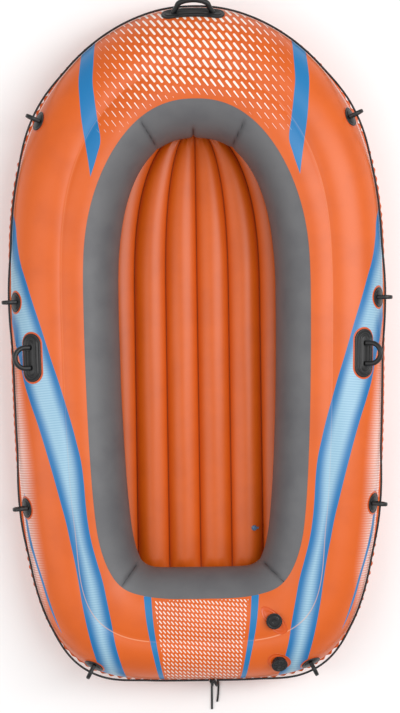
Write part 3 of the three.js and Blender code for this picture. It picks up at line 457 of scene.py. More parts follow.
@dataclass(frozen=True)
class Calendered:
    """PVC film squeezed between steel rollers: satin, with a soft pebble from the embossed roller."""

    name: str
    base: str
    deep: str
    roughness: float = 0.42
    ior: float = 1.53
    pebble: float = 1.1 * MM  # the roller's pebble is 0.3 mm; drawn at 1.1 mm so that it shows
    pebble_depth: float = 0.05 * MM
    cloud: float = 90 * MM

    def colour(self, add: Adder, place: bpy.types.NodeSocket) -> bpy.types.NodeSocket:
        """The film's own colour with faint clouds of a deeper tone."""
        cloud = add(NOISE, {"Scale": 1 / self.cloud, "Detail": 3.0}, {"Vector": place})
        share = add(RANGE, {**RISE, 1: 0.35, 2: 0.75}, {0: cloud})
        return add(MIX, {**COLOUR, 6: linear(self.base), 7: linear(self.deep)}, {0: share}).outputs[2]

    def dress(self, add: Adder, shader: bpy.types.Node, place: bpy.types.NodeSocket,
              colour: bpy.types.NodeSocket) -> None:
        """Gives a shader the film's colour, gloss and pebbled surface.

        Args:
            add: Adds a node to the material.
            shader: The material's shader.
            place: The place on the piece.
            colour: The film's colour with its prints.
        """
        links = shader.id_data.links
        links.new(colour, shader.inputs["Base Color"])
        shader.inputs["IOR"].default_value = self.ior
        grain = add(NOISE, {"Scale": 1 / self.pebble, "Detail": 2.0}, {"Vector": place})
        rough = add(RANGE, {3: self.roughness - 0.04, 4: self.roughness + 0.06}, {0: grain})
        links.new(rough.outputs[0], shader.inputs["Roughness"])
        bump = add("ShaderNodeBump", {"Strength": 0.35, "Distance": self.pebble_depth}, {"Height": grain})
        links.new(bump.outputs[0], shader.inputs["Normal"])

    def build(self) -> bpy.types.Material:
        """Makes the plain film's material."""
        material, add, shader = new_material(self.name)
        place = add("ShaderNodeTexCoord").outputs["Object"]
        self.dress(add, shader, place, self.colour(add, place))
        return material


@dataclass(frozen=True)
class Moulded:
    """Soft PVC or polyethylene from a spark-eroded mould: an even, fine matt grain."""

    name: str
    base: str
    worn: str
    roughness: float = 0.42
    ior: float = 1.5
    grain: float = 1.4 * MM  # the mould's grain is 0.2 mm; drawn at 1.4 mm so that it shows
    grain_depth: float = 0.04 * MM
    cloud: float = 18 * MM
    transmission: float = 0.0

    def build(self) -> bpy.types.Material:
        """Makes the moulded piece's material."""
        material, add, shader = new_material(self.name)
        links = material.node_tree.links
        place = add("ShaderNodeTexCoord").outputs["Object"]
        grain = add(NOISE, {"Scale": 1 / self.grain, "Detail": 3.0}, {"Vector": place})
        cloud = add(NOISE, {"Scale": 1 / self.cloud, "Detail": 2.0}, {"Vector": place})
        share = add(RANGE, {**RISE, 1: 0.3, 2: 0.8}, {0: cloud})
        colour = add(MIX, {**COLOUR, 6: linear(self.base), 7: linear(self.worn)}, {0: share})
        links.new(colour.outputs[2], shader.inputs["Base Color"])
        rough = add(RANGE, {3: self.roughness - 0.05, 4: self.roughness + 0.08}, {0: grain})
        links.new(rough.outputs[0], shader.inputs["Roughness"])
        shader.inputs["IOR"].default_value = self.ior
        shader.inputs["Transmission Weight"].default_value = self.transmission
        bump = add("ShaderNodeBump", {"Strength": 0.4, "Distance": self.grain_depth}, {"Height": grain})
        links.new(bump.outputs[0], shader.inputs["Normal"])
        return material


@dataclass(frozen=True)
class Braided:
    """Braided polypropylene rope: dull strands with dark valleys between."""

    name: str
    base: str
    light: str
    roughness: float = 0.62
    ior: float = 1.49
    fibre: float = 0.9 * MM  # a fibre is 0.05 mm thick; drawn at 0.9 mm so that it shows
    fibre_depth: float = 0.15 * MM

    def build(self) -> bpy.types.Material:
        """Makes the rope's material. Its strands are in the mesh, and this adds the fibres."""
        material, add, shader = new_material(self.name)
        links = material.node_tree.links
        place = add("ShaderNodeTexCoord").outputs["Object"]
        fibre = add(NOISE, {"Scale": 1 / self.fibre, "Detail": 2.0}, {"Vector": place})
        share = add(RANGE, {**RISE, 1: 0.4, 2: 0.75}, {0: fibre})
        colour = add(MIX, {**COLOUR, 6: linear(self.base), 7: linear(self.light)}, {0: share})
        links.new(colour.outputs[2], shader.inputs["Base Color"])
        shader.inputs["Roughness"].default_value = self.roughness
        shader.inputs["IOR"].default_value = self.ior
        bump = add("ShaderNodeBump", {"Strength": 0.5, "Distance": self.fibre_depth}, {"Height": fibre})
        links.new(bump.outputs[0], shader.inputs["Normal"])
        return material


@dataclass(frozen=True)
class SidePrint:
    """Where a printed band runs: tables of |x| against y for its two edges, in millimetres."""

    inner: tuple[tuple[float, float], ...]
    outer: tuple[tuple[float, float], ...]


SIDE_BAND = SidePrint(
    inner=(
        (583, 551.6), (408, 536.8), (342, 517.6), (285, 512), (229, 502), (172, 484.3),
        (115, 466.8), (58, 448.1), (2, 430.7), (-55, 413.2), (-112, 394.8), (-169, 378.3),
        (-225, 361.8), (-282, 347.3), (-339, 334.6), (-396, 327.9), (-452, 324),
        (-509, 318.2), (-566, 308.5), (-623, 293.9), (-679, 278.4), (-736, 266.8),
        (-792, 256.1), (-850, 246.4), (-906, 232.8), (-975, 215.3),
    ),
    outer=(
        (583, 669.8), (242, 650.1), (58, 536.8), (2, 524), (-55, 508.7), (-112, 496.5),
        (-169, 478.8), (-225, 459.2), (-282, 441.3), (-339, 424.9), (-396, 409.3),
        (-452, 394.8), (-509, 380.2), (-566, 368.6), (-623, 357), (-679, 347.3),
        (-736, 338.5), (-792, 327.9), (-850, 315.2), (-906, 301.7), (-975, 287.1),
    ),
)
BOW_BAND = SidePrint(
    inner=(
        (973, 281.3), (796, 283.2), (739, 285.2), (683, 280.3), (626, 273.5), (569, 265.8),
        (525, 276.4), (466, 295.8),
    ),
    outer=(
        (973, 320.1), (796, 323), (739, 325.9), (683, 323), (626, 318.2), (569, 310.4),
        (512, 301.7), (466, 295.8),
    ),
)
STERN_STRIPE = SidePrint(
    inner=(
        (-724, 142.6), (-792, 137.3), (-850, 130), (-906, 120.3), (-975, 108.6),
    ),
    outer=(
        (-724, 163.9), (-792, 156.7), (-850, 147), (-906, 135.3), (-975, 122.2),
    ),
)
QUARTER_STRIPE = SidePrint(
    inner=(
        (-430, 502), (-478, 499.8), (-509, 495.4), (-566, 484.3), (-623, 468.4),
        (-679, 450.1), (-736, 432.6), (-792, 414.2), (-829, 400.6),
    ),
    outer=(
        (-430, 503.1), (-478, 506.5), (-509, 503.1), (-566, 493.2), (-623, 475.6),
        (-679, 457), (-736, 439.9), (-792, 419), (-829, 401.6),
    ),
)


@dataclass(frozen=True)
class DashPrint:
    """A printed lattice of slanted dashes with round ends."""

    pitch: float
    row: float
    half_length: float
    drop: float = 0.09  # how much the rows fall towards port
    stagger: float = 0.98  # how far each row is shifted, as a share of the pitch


BOW_DASHES = DashPrint(21.5 * MM, 27 * MM, 9.5 * MM)
STERN_DASHES = DashPrint(11.4 * MM, 13 * MM, 4.0 * MM)


@dataclass(frozen=True)
class Skin:
    """The coordinates of the top panel's skin, and the function that adds a node to its material."""

    add: Adder
    x: bpy.types.NodeSocket
    y: bpy.types.NodeSocket
    side: bpy.types.Node
    from_rope: bpy.types.NodeSocket
    from_lining: bpy.types.NodeSocket
    from_weld: bpy.types.Node


@dataclass(frozen=True)
class PrintedFilm:
    """Calendered film that is gravure-printed before it is cut and welded: flat inks and dashes."""

    film: Calendered
    deep_blue: str = "#006CA8"
    bow_blue: str = "#0274B0"
    pale_blue: str = "#9DC3D6"
    white: str = "#F6EAE2"
    # the halftone ink at the stern, also the tint of the painted reflection at the bow
    halftone_and_reflection: str = "#F6D9D2"
    weld: str = "#F7B48C"
    soft: float = 0.8 * MM  # how far an ink's edge spreads
    widest: float = 700 * MM  # past every value in the bands' tables
    line_pitch: float = 7.2 * MM  # the printed lines are 2 mm apart; drawn wider so that they show
    line_slope: float = 0.09
    bow_dash_width: float = 4.0 * MM
    stern_dash_width: float = 1.6 * MM
    stern_reach: float = 225.5 * MM
    stern_slope: float = 0.125

    def edge(self, skin: Skin, table: Sequence[tuple[float, float]],
             span: tuple[float, float]) -> bpy.types.Node:
        """One edge of a printed band: its table, read along the boat as a smooth curve.

        Args:
            skin: The skin's coordinates.
            table: Pairs of y and |x| in millimetres.
            span: The band's lowest and highest y.

        Returns:
            The edge's distance from the middle line.
        """
        share = skin.add(RANGE, {1: span[0], 2: span[1], 3: 0.0, 4: 1.0}, {0: skin.y})
        curve = skin.add("ShaderNodeFloatCurve", {}, {"Value": share})
        line = curve.mapping.curves[0]
        marks = [((along * MM - span[0]) / (span[1] - span[0]), aside * MM / self.widest)
                 for along, aside in sorted(table)]
        line.points[0].location = marks[0]
        line.points[1].location = marks[-1]
        for mark in marks[1:-1]:
            line.points.new(*mark)
        for point in line.points:
            point.handle_type = "AUTO_CLAMPED"
        curve.mapping.use_clip = False
        curve.mapping.update()
        return skin.add(MATH, {**MULTIPLY, 1: self.widest}, {0: curve})

    def band(self, skin: Skin, band: SidePrint) -> tuple[bpy.types.Node, bpy.types.Node, bpy.types.Node]:
        """A printed band's mask and the distances from its two edges.

        Args:
            skin: The skin's coordinates.
            band: The band's edges.

        Returns:
            The mask, the distance past the inner edge and the distance short of the outer edge.
        """
        add = skin.add
        places = [along * MM for along, _ in (*band.inner, *band.outer)]
        span = (min(places), max(places))
        past = add(MATH, SUBTRACT, {0: skin.side, 1: self.edge(skin, band.inner, span)})
        short = add(MATH, SUBTRACT, {0: self.edge(skin, band.outer, span), 1: skin.side})
        inked = {**RISE, 1: -self.soft, 2: self.soft}
        mask = add(MATH, MULTIPLY, {0: add(RANGE, inked, {0: past}), 1: add(RANGE, inked, {0: short})})
        before = add(MATH, {"operation": "GREATER_THAN", 1: span[0]}, {0: skin.y})
        within = add(MATH, {"operation": "LESS_THAN", 1: span[1]}, {0: skin.y})
        within = add(MATH, MULTIPLY, {0: before, 1: within})
        return add(MATH, MULTIPLY, {0: mask, 1: within}), past, short

    def ink(self, skin: Skin, mask: bpy.types.Node, under: bpy.types.NodeSocket,
            ink: str) -> bpy.types.NodeSocket:
        """The colour under an ink with the ink laid over it where the mask says."""
        return skin.add(MIX, {**COLOUR, 7: linear(ink)}, {0: mask, 6: under}).outputs[2]

    def lines(self, skin: Skin) -> bpy.types.Node:
        """Fine printed lines across the boat, which make each pale area a halftone."""
        level = skin.add(MATH, {**MULTIPLY_ADD, 1: self.line_slope}, {0: skin.side, 2: skin.y})
        phase = skin.add(MATH, {**DIVIDE, 1: self.line_pitch}, {0: level})
        phase = skin.add(MATH, {"operation": "FRACT"}, {0: phase})
        phase = skin.add(MATH, {**SUBTRACT, 1: 0.5}, {0: phase})
        return skin.add(RANGE, {**RISE, 1: 0.12, 2: 0.3}, {0: skin.add(MATH, ABSOLUTE, {0: phase})})

    def print_halftone_and_bow_reflection(self, skin: Skin, lines: bpy.types.Node,
                       colour: bpy.types.NodeSocket) -> bpy.types.NodeSocket:
        """Pinkish halftone inboard of the grab line at the stern, and a painted reflection outboard of it at
        the bow, striped by the same lines.

        Args:
            skin: The skin's coordinates.
            lines: The halftone's lines.
            colour: The colour under it.

        Returns:
            The colour with it.
        """
        add = skin.add
        astern = add(RANGE, {**RISE, 1: -860 * MM, 2: -640 * MM}, {0: skin.y})
        ahead = add(RANGE, {**FALL, 1: -380 * MM, 2: 160 * MM}, {0: skin.y})
        quarter = add(MATH, MULTIPLY, {0: astern, 1: ahead})
        reach = add(MATH, {**MULTIPLY_ADD, 1: 70 * MM, 2: 10 * MM}, {0: quarter})
        share = add(MATH, DIVIDE, {0: skin.from_rope, 1: reach})
        fade = add(MATH, MULTIPLY, {0: add(RANGE, {**FALL, 1: 0.15, 2: 1.0}, {0: share}), 1: quarter})
        tint = add(MATH, {**MULTIPLY_ADD, 1: 0.5, 2: 0.35}, {0: lines})
        colour = self.ink(skin, add(MATH, MULTIPLY, {0: fade, 1: tint}), colour, self.halftone_and_reflection)
        # painted reflection of the pale surroundings on the bow's lower side, outboard of the grab line
        outboard = add(RANGE, {**FALL, 1: -5 * MM, 2: -1 * MM}, {0: skin.from_rope})
        ahead = add(RANGE, {**RISE, 1: 400 * MM, 2: 560 * MM}, {0: skin.y})
        fade = add(MATH, MULTIPLY, {0: outboard, 1: ahead})
        tint = add(MATH, {**MULTIPLY_ADD, 1: 0.4, 2: 0.2}, {0: lines})
        return self.ink(skin, add(MATH, MULTIPLY, {0: fade, 1: tint}), colour, self.halftone_and_reflection)

    def print_bands(self, skin: Skin, lines: bpy.types.Node,
                    colour: bpy.types.NodeSocket) -> bpy.types.NodeSocket:
        """The big side bands, deep blue round a pale halftone middle, and the plain blue stripes.

        Args:
            skin: The skin's coordinates.
            lines: The halftone's lines.
            colour: The colour under them.

        Returns:
            The colour with them.
        """
        add = skin.add
        mask, past, short = self.band(skin, SIDE_BAND)
        nearest = add(MATH, {"operation": "MINIMUM"}, {0: past, 1: short})
        pale = add(RANGE, {**RISE, 1: 6 * MM, 2: 36 * MM}, {0: nearest})
        tint = add(MATH, {**MULTIPLY_ADD, 1: 0.2, 2: 0.76}, {0: lines})
        tint = add(MATH, MULTIPLY, {0: pale, 1: tint})
        blue = add(MIX, {**COLOUR, 6: linear(self.deep_blue), 7: linear(self.pale_blue)}, {0: tint})
        colour = add(MIX, COLOUR, {0: mask, 6: colour, 7: blue.outputs[2]}).outputs[2]
        for stripe in (BOW_BAND, STERN_STRIPE, QUARTER_STRIPE):
            colour = self.ink(skin, self.band(skin, stripe)[0], colour, self.bow_blue)
        return colour

    def from_dash(self, skin: Skin, lattice: DashPrint) -> bpy.types.NodeSocket:
        """The distance from the middle line of the nearest dash.

        Args:
            skin: The skin's coordinates.
            lattice: The dashes' spacing and length.

        Returns:
            The distance.
        """
        add = skin.add
        slant = lattice.pitch / lattice.row
        norm = 1 / math.hypot(1, slant)
        level = add(MATH, {**MULTIPLY_ADD, 1: lattice.drop}, {0: skin.x, 2: skin.y})
        row = add(MATH, ROUND, {0: add(MATH, {**DIVIDE, 1: lattice.row}, {0: level})})
        from_row = add(MATH, {**MULTIPLY_ADD, 1: -lattice.row}, {0: row, 2: level})
        shifted = add(MATH, {**MULTIPLY_ADD, 1: lattice.pitch * lattice.stagger}, {0: row, 2: skin.x})
        column = add(MATH, ROUND, {0: add(MATH, {**DIVIDE, 1: lattice.pitch}, {0: shifted})})
        from_column = add(MATH, {**MULTIPLY_ADD, 1: -lattice.pitch}, {0: column, 2: shifted})
        along = add(MATH, {**MULTIPLY, 1: slant * norm}, {0: from_column})
        along = add(MATH, {**MULTIPLY_ADD, 1: -norm}, {0: from_row, 2: along})
        aside = add(MATH, {**MULTIPLY_ADD, 1: slant}, {0: from_row, 2: from_column})
        aside = add(MATH, {**MULTIPLY, 1: norm}, {0: aside})
        beyond = add(MATH, {**SUBTRACT, 1: lattice.half_length}, {0: add(MATH, ABSOLUTE, {0: along})})
        beyond = add(MATH, {"operation": "MAXIMUM", 1: 0.0}, {0: beyond})
        offset = add("ShaderNodeCombineXYZ", {}, {0: beyond, 1: aside})
        return add("ShaderNodeVectorMath", {"operation": "LENGTH"}, {0: offset}).outputs["Value"]

    def print_dashes(self, skin: Skin, colour: bpy.types.NodeSocket) -> bpy.types.NodeSocket:
        """White dashes between the bow bands, thinner at their ends, and finer ones at the stern.

        Args:
            skin: The skin's coordinates.
            colour: The colour under them.

        Returns:
            The colour with them.
        """
        add = skin.add
        edge = {**RISE, 1: -0.5 * MM, 2: 0.7 * MM}
        room = add(MATH, {**SUBTRACT, 0: 290 * MM}, {1: skin.side})
        taper = add(MATH, {**DIVIDE, 1: 190 * MM}, {0: room})
        taper = add(MATH, {"operation": "MINIMUM", 1: 1.0}, {0: taper})
        near = add(MATH, {**DIVIDE, 1: 60 * MM}, {0: skin.from_lining})
        near = add(MATH, {"operation": "MINIMUM", 1: 1.0}, {0: near})
        thin = add(MATH, {"operation": "MAXIMUM", 1: 0.0}, {0: add(MATH, MULTIPLY, {0: taper, 1: near})})
        width = add(MATH, {**MULTIPLY_ADD, 1: self.bow_dash_width, 2: -0.2 * MM}, {0: thin})
        mask = add(MATH, SUBTRACT, {0: width, 1: self.from_dash(skin, BOW_DASHES)})
        mask = add(RANGE, edge, {0: mask})
        for value, operation, limit in (
            (skin.y, "GREATER_THAN", 590 * MM),
            (skin.side, "LESS_THAN", 280 * MM),
            (skin.from_lining, "GREATER_THAN", 8 * MM),
        ):
            within = add(MATH, {"operation": operation, 1: limit}, {0: value})
            mask = add(MATH, MULTIPLY, {0: mask, 1: within})
        colour = self.ink(skin, mask, colour, self.white)
        distance = self.from_dash(skin, STERN_DASHES)
        mask = add(MATH, {**SUBTRACT, 0: self.stern_dash_width}, {1: distance})
        mask = add(RANGE, edge, {0: mask})
        limit = add(MATH, {**MULTIPLY_ADD, 1: self.stern_slope, 2: self.stern_reach}, {0: skin.y})
        inside = add(MATH, {"operation": "LESS_THAN"}, {0: skin.side, 1: limit})
        astern = add(MATH, {"operation": "LESS_THAN", 1: -736 * MM}, {0: skin.y})
        mask = add(MATH, MULTIPLY, {0: mask, 1: add(MATH, MULTIPLY, {0: inside, 1: astern})})
        return self.ink(skin, mask, colour, self.white)

    def press_weld(self, skin: Skin, colour: bpy.types.NodeSocket) -> bpy.types.NodeSocket:
        """The pressed weld between the two chambers, palest where it rounds the stern corners."""
        add = skin.add
        line = add(RANGE, {**FALL, 1: 0.6 * MM, 2: 2.0 * MM}, {0: skin.from_weld})
        corner = add(RANGE, {**FALL, 1: -640 * MM, 2: -420 * MM}, {0: skin.y})
        aside = add(MATH, {"operation": "GREATER_THAN", 1: 150 * MM}, {0: skin.side})
        corner = add(MATH, MULTIPLY, {0: corner, 1: aside})
        strength = add(MATH, {**MULTIPLY_ADD, 1: 0.38, 2: 0.1}, {0: corner})
        return self.ink(skin, add(MATH, MULTIPLY, {0: line, 1: strength}), colour, self.weld)

    def build(self) -> bpy.types.Material:
        """Makes the top panel's material."""
        material, add, shader = new_material(self.film.name + "_printed")
        place = add("ShaderNodeTexCoord").outputs["Object"]
        x, y, _ = add("ShaderNodeSeparateXYZ", {}, {0: place}).outputs
        arcs = add("ShaderNodeAttribute", {"attribute_name": "section"}).outputs["Vector"]
        rope, lining, weld = add("ShaderNodeSeparateXYZ", {}, {0: arcs}).outputs
        side, weld = add(MATH, ABSOLUTE, {0: x}), add(MATH, ABSOLUTE, {0: weld})
        skin = Skin(add, x, y, side, rope, lining, weld)
        lines = self.lines(skin)
        colour = self.print_halftone_and_bow_reflection(skin, lines, self.film.colour(add, place))
        colour = self.print_bands(skin, lines, colour)
        colour = self.press_weld(skin, self.print_dashes(skin, colour))
        self.film.dress(add, shader, place, colour)
        return material


@dataclass(frozen=True)
class CreaseShadedFilm:
    """Calendered film with painted shade along its creases: a soft band beside each crease and a dark line in
    it, which on the floor also stands for the weld line.
    """

    film: Calendered
    # the dark line in each crease: painted shade in the groove, which on the floor also stands for the weld
    # line
    crease: str = "#9C3A0A"
    # the painted shade beside each crease
    shade: str = "#C44D0A"
    shade_reach: float = 16 * MM
    crease_reach: float = 2.6 * MM

    def build(self) -> bpy.types.Material:
        """Makes the film's material, with painted shade along its creases."""
        material, add, shader = new_material(self.film.name + "_creased")
        place = add("ShaderNodeTexCoord").outputs["Object"]
        away = add("ShaderNodeAttribute", {"attribute_name": "from_crease"}).outputs["Fac"]
        colour = self.film.colour(add, place)
        # painted shade beside each crease, then the dark line in it
        for tone, near, far, strength in ((self.shade, 1 * MM, self.shade_reach, 0.6),
                                          (self.crease, 0.6 * MM, self.crease_reach, 0.85)):
            share = add(RANGE, {**RISE, 1: near, 2: far, 3: strength, 4: 0.0}, {0: away})
            colour = add(MIX, {**COLOUR, 7: linear(tone)}, {0: share, 6: colour}).outputs[2]
        self.film.dress(add, shader, place, colour)
        return material


class Finish(Enum):
    """The boat's finishes, by the record's slot names."""

    ORANGE = "orange_pvc"
    GREY = "grey_pvc"
    FITTING = "black_fitting"
    ROPE = "black_rope"
    VALVE = "black_valve"
    CLEAR = "clear_valve"


@dataclass
class Finishes:
    """Every material of the boat, made once."""

    made: dict[str, bpy.types.Material] = field(default_factory=dict)

    def __post_init__(self) -> None:
        """Makes the materials."""
        orange = Calendered("orange_calendered_pvc", "#D95D00", "#D15800")
        grey = Calendered("grey_calendered_pvc", "#646466", "#5B5B5E", roughness=0.5)
        self.made = {
            "printed": PrintedFilm(orange).build(),
            # painted shade along the floor's welded creases, with a dark weld line in each
            "floor": CreaseShadedFilm(orange).build(),
            # painted shade along the lining's folds: a dark line in each fold and a softer shade beside it
            "lining": CreaseShadedFilm(grey, "#303032", "#505053", 9 * MM, 2.8 * MM).build(),
            "weld": Calendered("heat_pressed_pvc", "#D5540A", "#CB4C06", roughness=0.33).build(),
            Finish.ORANGE.value: orange.build(),
            Finish.GREY.value: grey.build(),
            Finish.FITTING.value: Moulded("black_moulded_pvc", "#0B0B0C", "#111112").build(),
            Finish.ROPE.value: Braided("black_braided_polypropylene", "#121213", "#26262A").build(),
            Finish.VALVE.value: Moulded("black_moulded_polyethylene", "#0D0D0F", "#151517",
                                        roughness=0.33).build(),
            Finish.CLEAR.value: Moulded("clear_moulded_pvc", "#6F8FB5", "#89A6C6", roughness=0.22,
                                        transmission=0.35).build(),
        }

    def of(self, finish: Finish) -> bpy.types.Material:
        """The material of a finish."""
        return self.made[finish.value]

    @property
    def printed(self) -> bpy.types.Material:
        """The top panel's printed film."""
        return self.made["printed"]

    @property
    def floor(self) -> bpy.types.Material:
        """The air floor's film, with painted shade along its welded creases."""
        return self.made["floor"]

    @property
    def lining(self) -> bpy.types.Material:
        """The cockpit wall's film, with painted shade along its folds."""
        return self.made["lining"]

    @property
    def weld(self) -> bpy.types.Material:
        """The film round a welded fitting."""
        return self.made["weld"]

    def dress_node(self, name: str, finish: Finish) -> None:
        """Gives a carried-over CAD node its finish."""
        node = bpy.data.objects[name]
        node.data.materials.clear()
        node.data.materials.append(self.of(finish))


# ---------------------------------------------------------------- mesh makers

def grid_faces(rows: int, columns: int, ring: bool = False, tube: bool = False) -> list[tuple[int, ...]]:
    """Faces of a grid of points.

    Args:
        rows: Number of rows.
        columns: Number of points in a row.
        ring: Whether the last row joins the first.
        tube: Whether each row's last point joins its first.

    Returns:
        Quads as point numbers.
    """
    faces = []
    for i in range(rows if ring else rows - 1):
        below = ((i + 1) % rows) * columns
        for j in range(columns if tube else columns - 1):
            beside = (j + 1) % columns
            faces.append((i * columns + j, below + j, below + beside, i * columns + beside))
    return faces


def smooth_path(points: Sequence[Vector], steps: int) -> list[Vector]:
    """A centripetal Catmull-Rom curve through points, as evenly counted samples.

    Args:
        points: The points that it passes through.
        steps: Number of samples less one.

    Returns:
        The samples from the first point to the last.
    """
    ends = [points[0] * 2 - points[1], *points, points[-1] * 2 - points[-2]]
    samples = []
    for step in range(steps + 1):
        place = step / steps * (len(points) - 1)
        i = min(int(place), len(points) - 2)
        p = ends[i:i + 4]
        knots = [0.0]
        for a, b in zip(p, p[1:]):
            knots.append(knots[-1] + max((b - a).length, 1e-9) ** 0.5)
        t = lerp(knots[1], knots[2], place - i)
        level = list(p)
        for width in (1, 2, 3):
            level = [blend_points(level, knots, k, width, t) for k in range(len(level) - 1)]
        samples.append(level[0])
    return samples


def blend_points(level: Sequence[Vector], knots: Sequence[float], k: int, width: int, t: float) -> Vector:
    """One step of a Catmull-Rom curve's pyramid of blends.

    Args:
        level: The points of the level below.
        knots: The curve's knots.
        k: The blend's place in its level.
        width: The level's number, from 1.
        t: The curve's parameter.

    Returns:
        The blended point.
    """
    first, last = (k, k + 1) if width == 1 else (k, k + 2) if width == 2 else (1, 2)
    return level[k].lerp(level[k + 1], (t - knots[first]) / (knots[last] - knots[first]))


def path_length(points: Sequence[Vector]) -> float:
    """The length of a line of points."""
    return sum((b - a).length for a, b in zip(points, points[1:]))


def sweep(name: str, path: Sequence[Vector], section: Callable[[int, Vector], list[tuple[float, float]]],
          up: Vector, closed: bool = False) -> bpy.types.Object:
    """Sweeps a section along a path with a frame that doesn't twist.

    Args:
        name: The piece's name.
        path: The centre line.
        section: Gives the section's outline at a step, from the step and its point.
        up: A direction that isn't along the path's start.
        closed: Whether the path joins up.

    Returns:
        The piece.
    """
    vertices: list[Vector] = []
    count = len(path)
    side = None
    for i, point in enumerate(path):
        ahead = path[(i + 1) % count] if closed else path[min(i + 1, count - 1)]
        behind = path[i - 1] if closed or i else path[0]
        along = (ahead - behind).normalized()
        side = up.cross(along) if side is None else side - along * side.dot(along)
        side.normalize()
        top = along.cross(side)
        outline = section(i, point)
        vertices += [point + side * a + top * b for a, b in outline]
    columns = len(outline)
    faces = grid_faces(count, columns, ring=closed, tube=True)
    if not closed:
        faces += [tuple(range(columns)), tuple(range((count - 1) * columns, count * columns))]
    return mesh_object(name, vertices, faces)


def rounded_outline(width: float, depth: float, corner: float,
                    per_corner: int = 5) -> list[tuple[float, float]]:
    """A rectangle with rounded corners about the origin.

    Args:
        width: Its size across.
        depth: Its size up.
        corner: Its corners' radius.
        per_corner: Points in each corner.

    Returns:
        The outline's points, anticlockwise.
    """
    points = []
    for quarter in range(4):
        centre_x = (width / 2 - corner) * (1 if quarter in (0, 3) else -1)
        centre_y = (depth / 2 - corner) * (1 if quarter in (0, 1) else -1)
        for step in range(per_corner):
            turn = math.pi / 2 * (quarter + step / (per_corner - 1))
            points.append((centre_x + corner * math.cos(turn), centre_y + corner * math.sin(turn)))
    return points


def stadium(half_length: float, half_width: float, count: int) -> list[tuple[float, float]]:
    """A long outline with round ends, as evenly spaced points."""
    straight = 2 * (half_length - half_width)
    arc = math.pi * half_width
    points = []
    for i in range(count):
        along = 2 * (straight + arc) * (i + 0.5) / count
        half = 1 if along < straight + arc else -1
        rest = along % (straight + arc)
        turn = max(rest - straight, 0.0) / half_width
        x = min(rest, straight) - straight / 2 + half_width * math.sin(turn)
        points.append((half * x, -half * half_width * math.cos(turn)))
    return points


def turned_piece(name: str, profile: Sequence[tuple[float, float]], frame: Matrix, sides: int = 64,
                 shape: Callable[[float, float, float], tuple[float, float]] | None = None
                 ) -> bpy.types.Object:
    """Turns a profile about a frame's z.

    Args:
        name: The piece's name.
        profile: Pairs of radius and height. It is closed where its ends meet or touch the axis.
        frame: The piece's frame.
        sides: Facets round the piece.
        shape: Changes a radius and height at a turn, for spokes or ribs.

    Returns:
        The piece.
    """
    vertices = []
    for i in range(sides):
        turn = 2 * math.pi * i / sides
        for radius, height in profile:
            if shape:
                radius, height = shape(turn, radius, height)
            vertices.append(frame @ Vector((radius * math.cos(turn), radius * math.sin(turn), height)))
    piece = mesh_object(name, vertices, grid_faces(sides, len(profile), ring=True))
    welded = bmesh.new()
    welded.from_mesh(piece.data)
    bmesh.ops.remove_doubles(welded, verts=welded.verts, dist=0.01 * MM)
    bmesh.ops.recalc_face_normals(welded, faces=welded.faces)
    welded.to_mesh(piece.data)
    welded.free()
    return piece


def rounded_profile(corners: Sequence[tuple[float, float]], radius: float,
                    steps: int = 3) -> list[tuple[float, float]]:
    """Rounds each inner corner of an open profile.

    Args:
        corners: The profile's corners.
        radius: The rounding's size.
        steps: Points in each rounding less one.

    Returns:
        The rounded profile.
    """
    points = [corners[0]]
    for before, here, after in zip(corners, corners[1:], corners[2:]):
        a, b, c = Vector(before), Vector(here), Vector(after)
        reach = min(radius, (b - a).length / 2.2, (c - b).length / 2.2)
        start = b + (a - b).normalized() * reach
        end = b + (c - b).normalized() * reach
        for step in range(steps + 1):
            share = step / steps
            point = start.lerp(b, share).lerp(b.lerp(end, share), share)
            points.append((point.x, point.y))
    points.append(corners[-1])
    return points


@dataclass(frozen=True)
class Place:
    """A place on the hull's skin."""

    run: float
    side: int
    degrees: float

    def mirrored(self, form: HullForm) -> "Place":
        """The same place on the other side of the boat."""
        return Place(2 * form.half_run - self.run, self.side, self.degrees)


def skin_pad(form: HullForm, name: str, place: Place, half_length: float, half_width: float,
             profile: Sequence[tuple[float, float]], count: int) -> bpy.types.Object:
    """A pad that follows the skin, with a stepped or domed top.

    Args:
        form: The hull's sizes.
        name: The pad's name.
        place: Where its middle sits.
        half_length: Half of its size along the hull.
        half_width: Half of its size across.
        profile: Pairs of distance in from the edge and height over the skin, from the edge in.
        count: Points round the pad.

    Returns:
        The pad.
    """
    turn = math.degrees(1 / form.station(place.run).radius)
    vertices: list[Vector] = []

    def on_skin(x: float, y: float, height: float) -> Vector:
        """A point over the skin at a shift from the pad's middle."""
        spot = form.skin_frame(place.run + x, place.side, place.degrees - y * turn)
        return spot @ Vector((0, 0, height))

    for inset, height in profile:
        ring = stadium(half_length - inset, half_width - inset, count)
        vertices += [on_skin(x, y, height) for x, y in ring]
    vertices.append(on_skin(0, 0, profile[-1][1]))
    faces = grid_faces(len(profile), count, tube=True)
    last = (len(profile) - 1) * count
    centre = len(vertices) - 1
    faces += [(last + i, last + (i + 1) % count, centre) for i in range(count)]
    return mesh_object(name, vertices, faces)


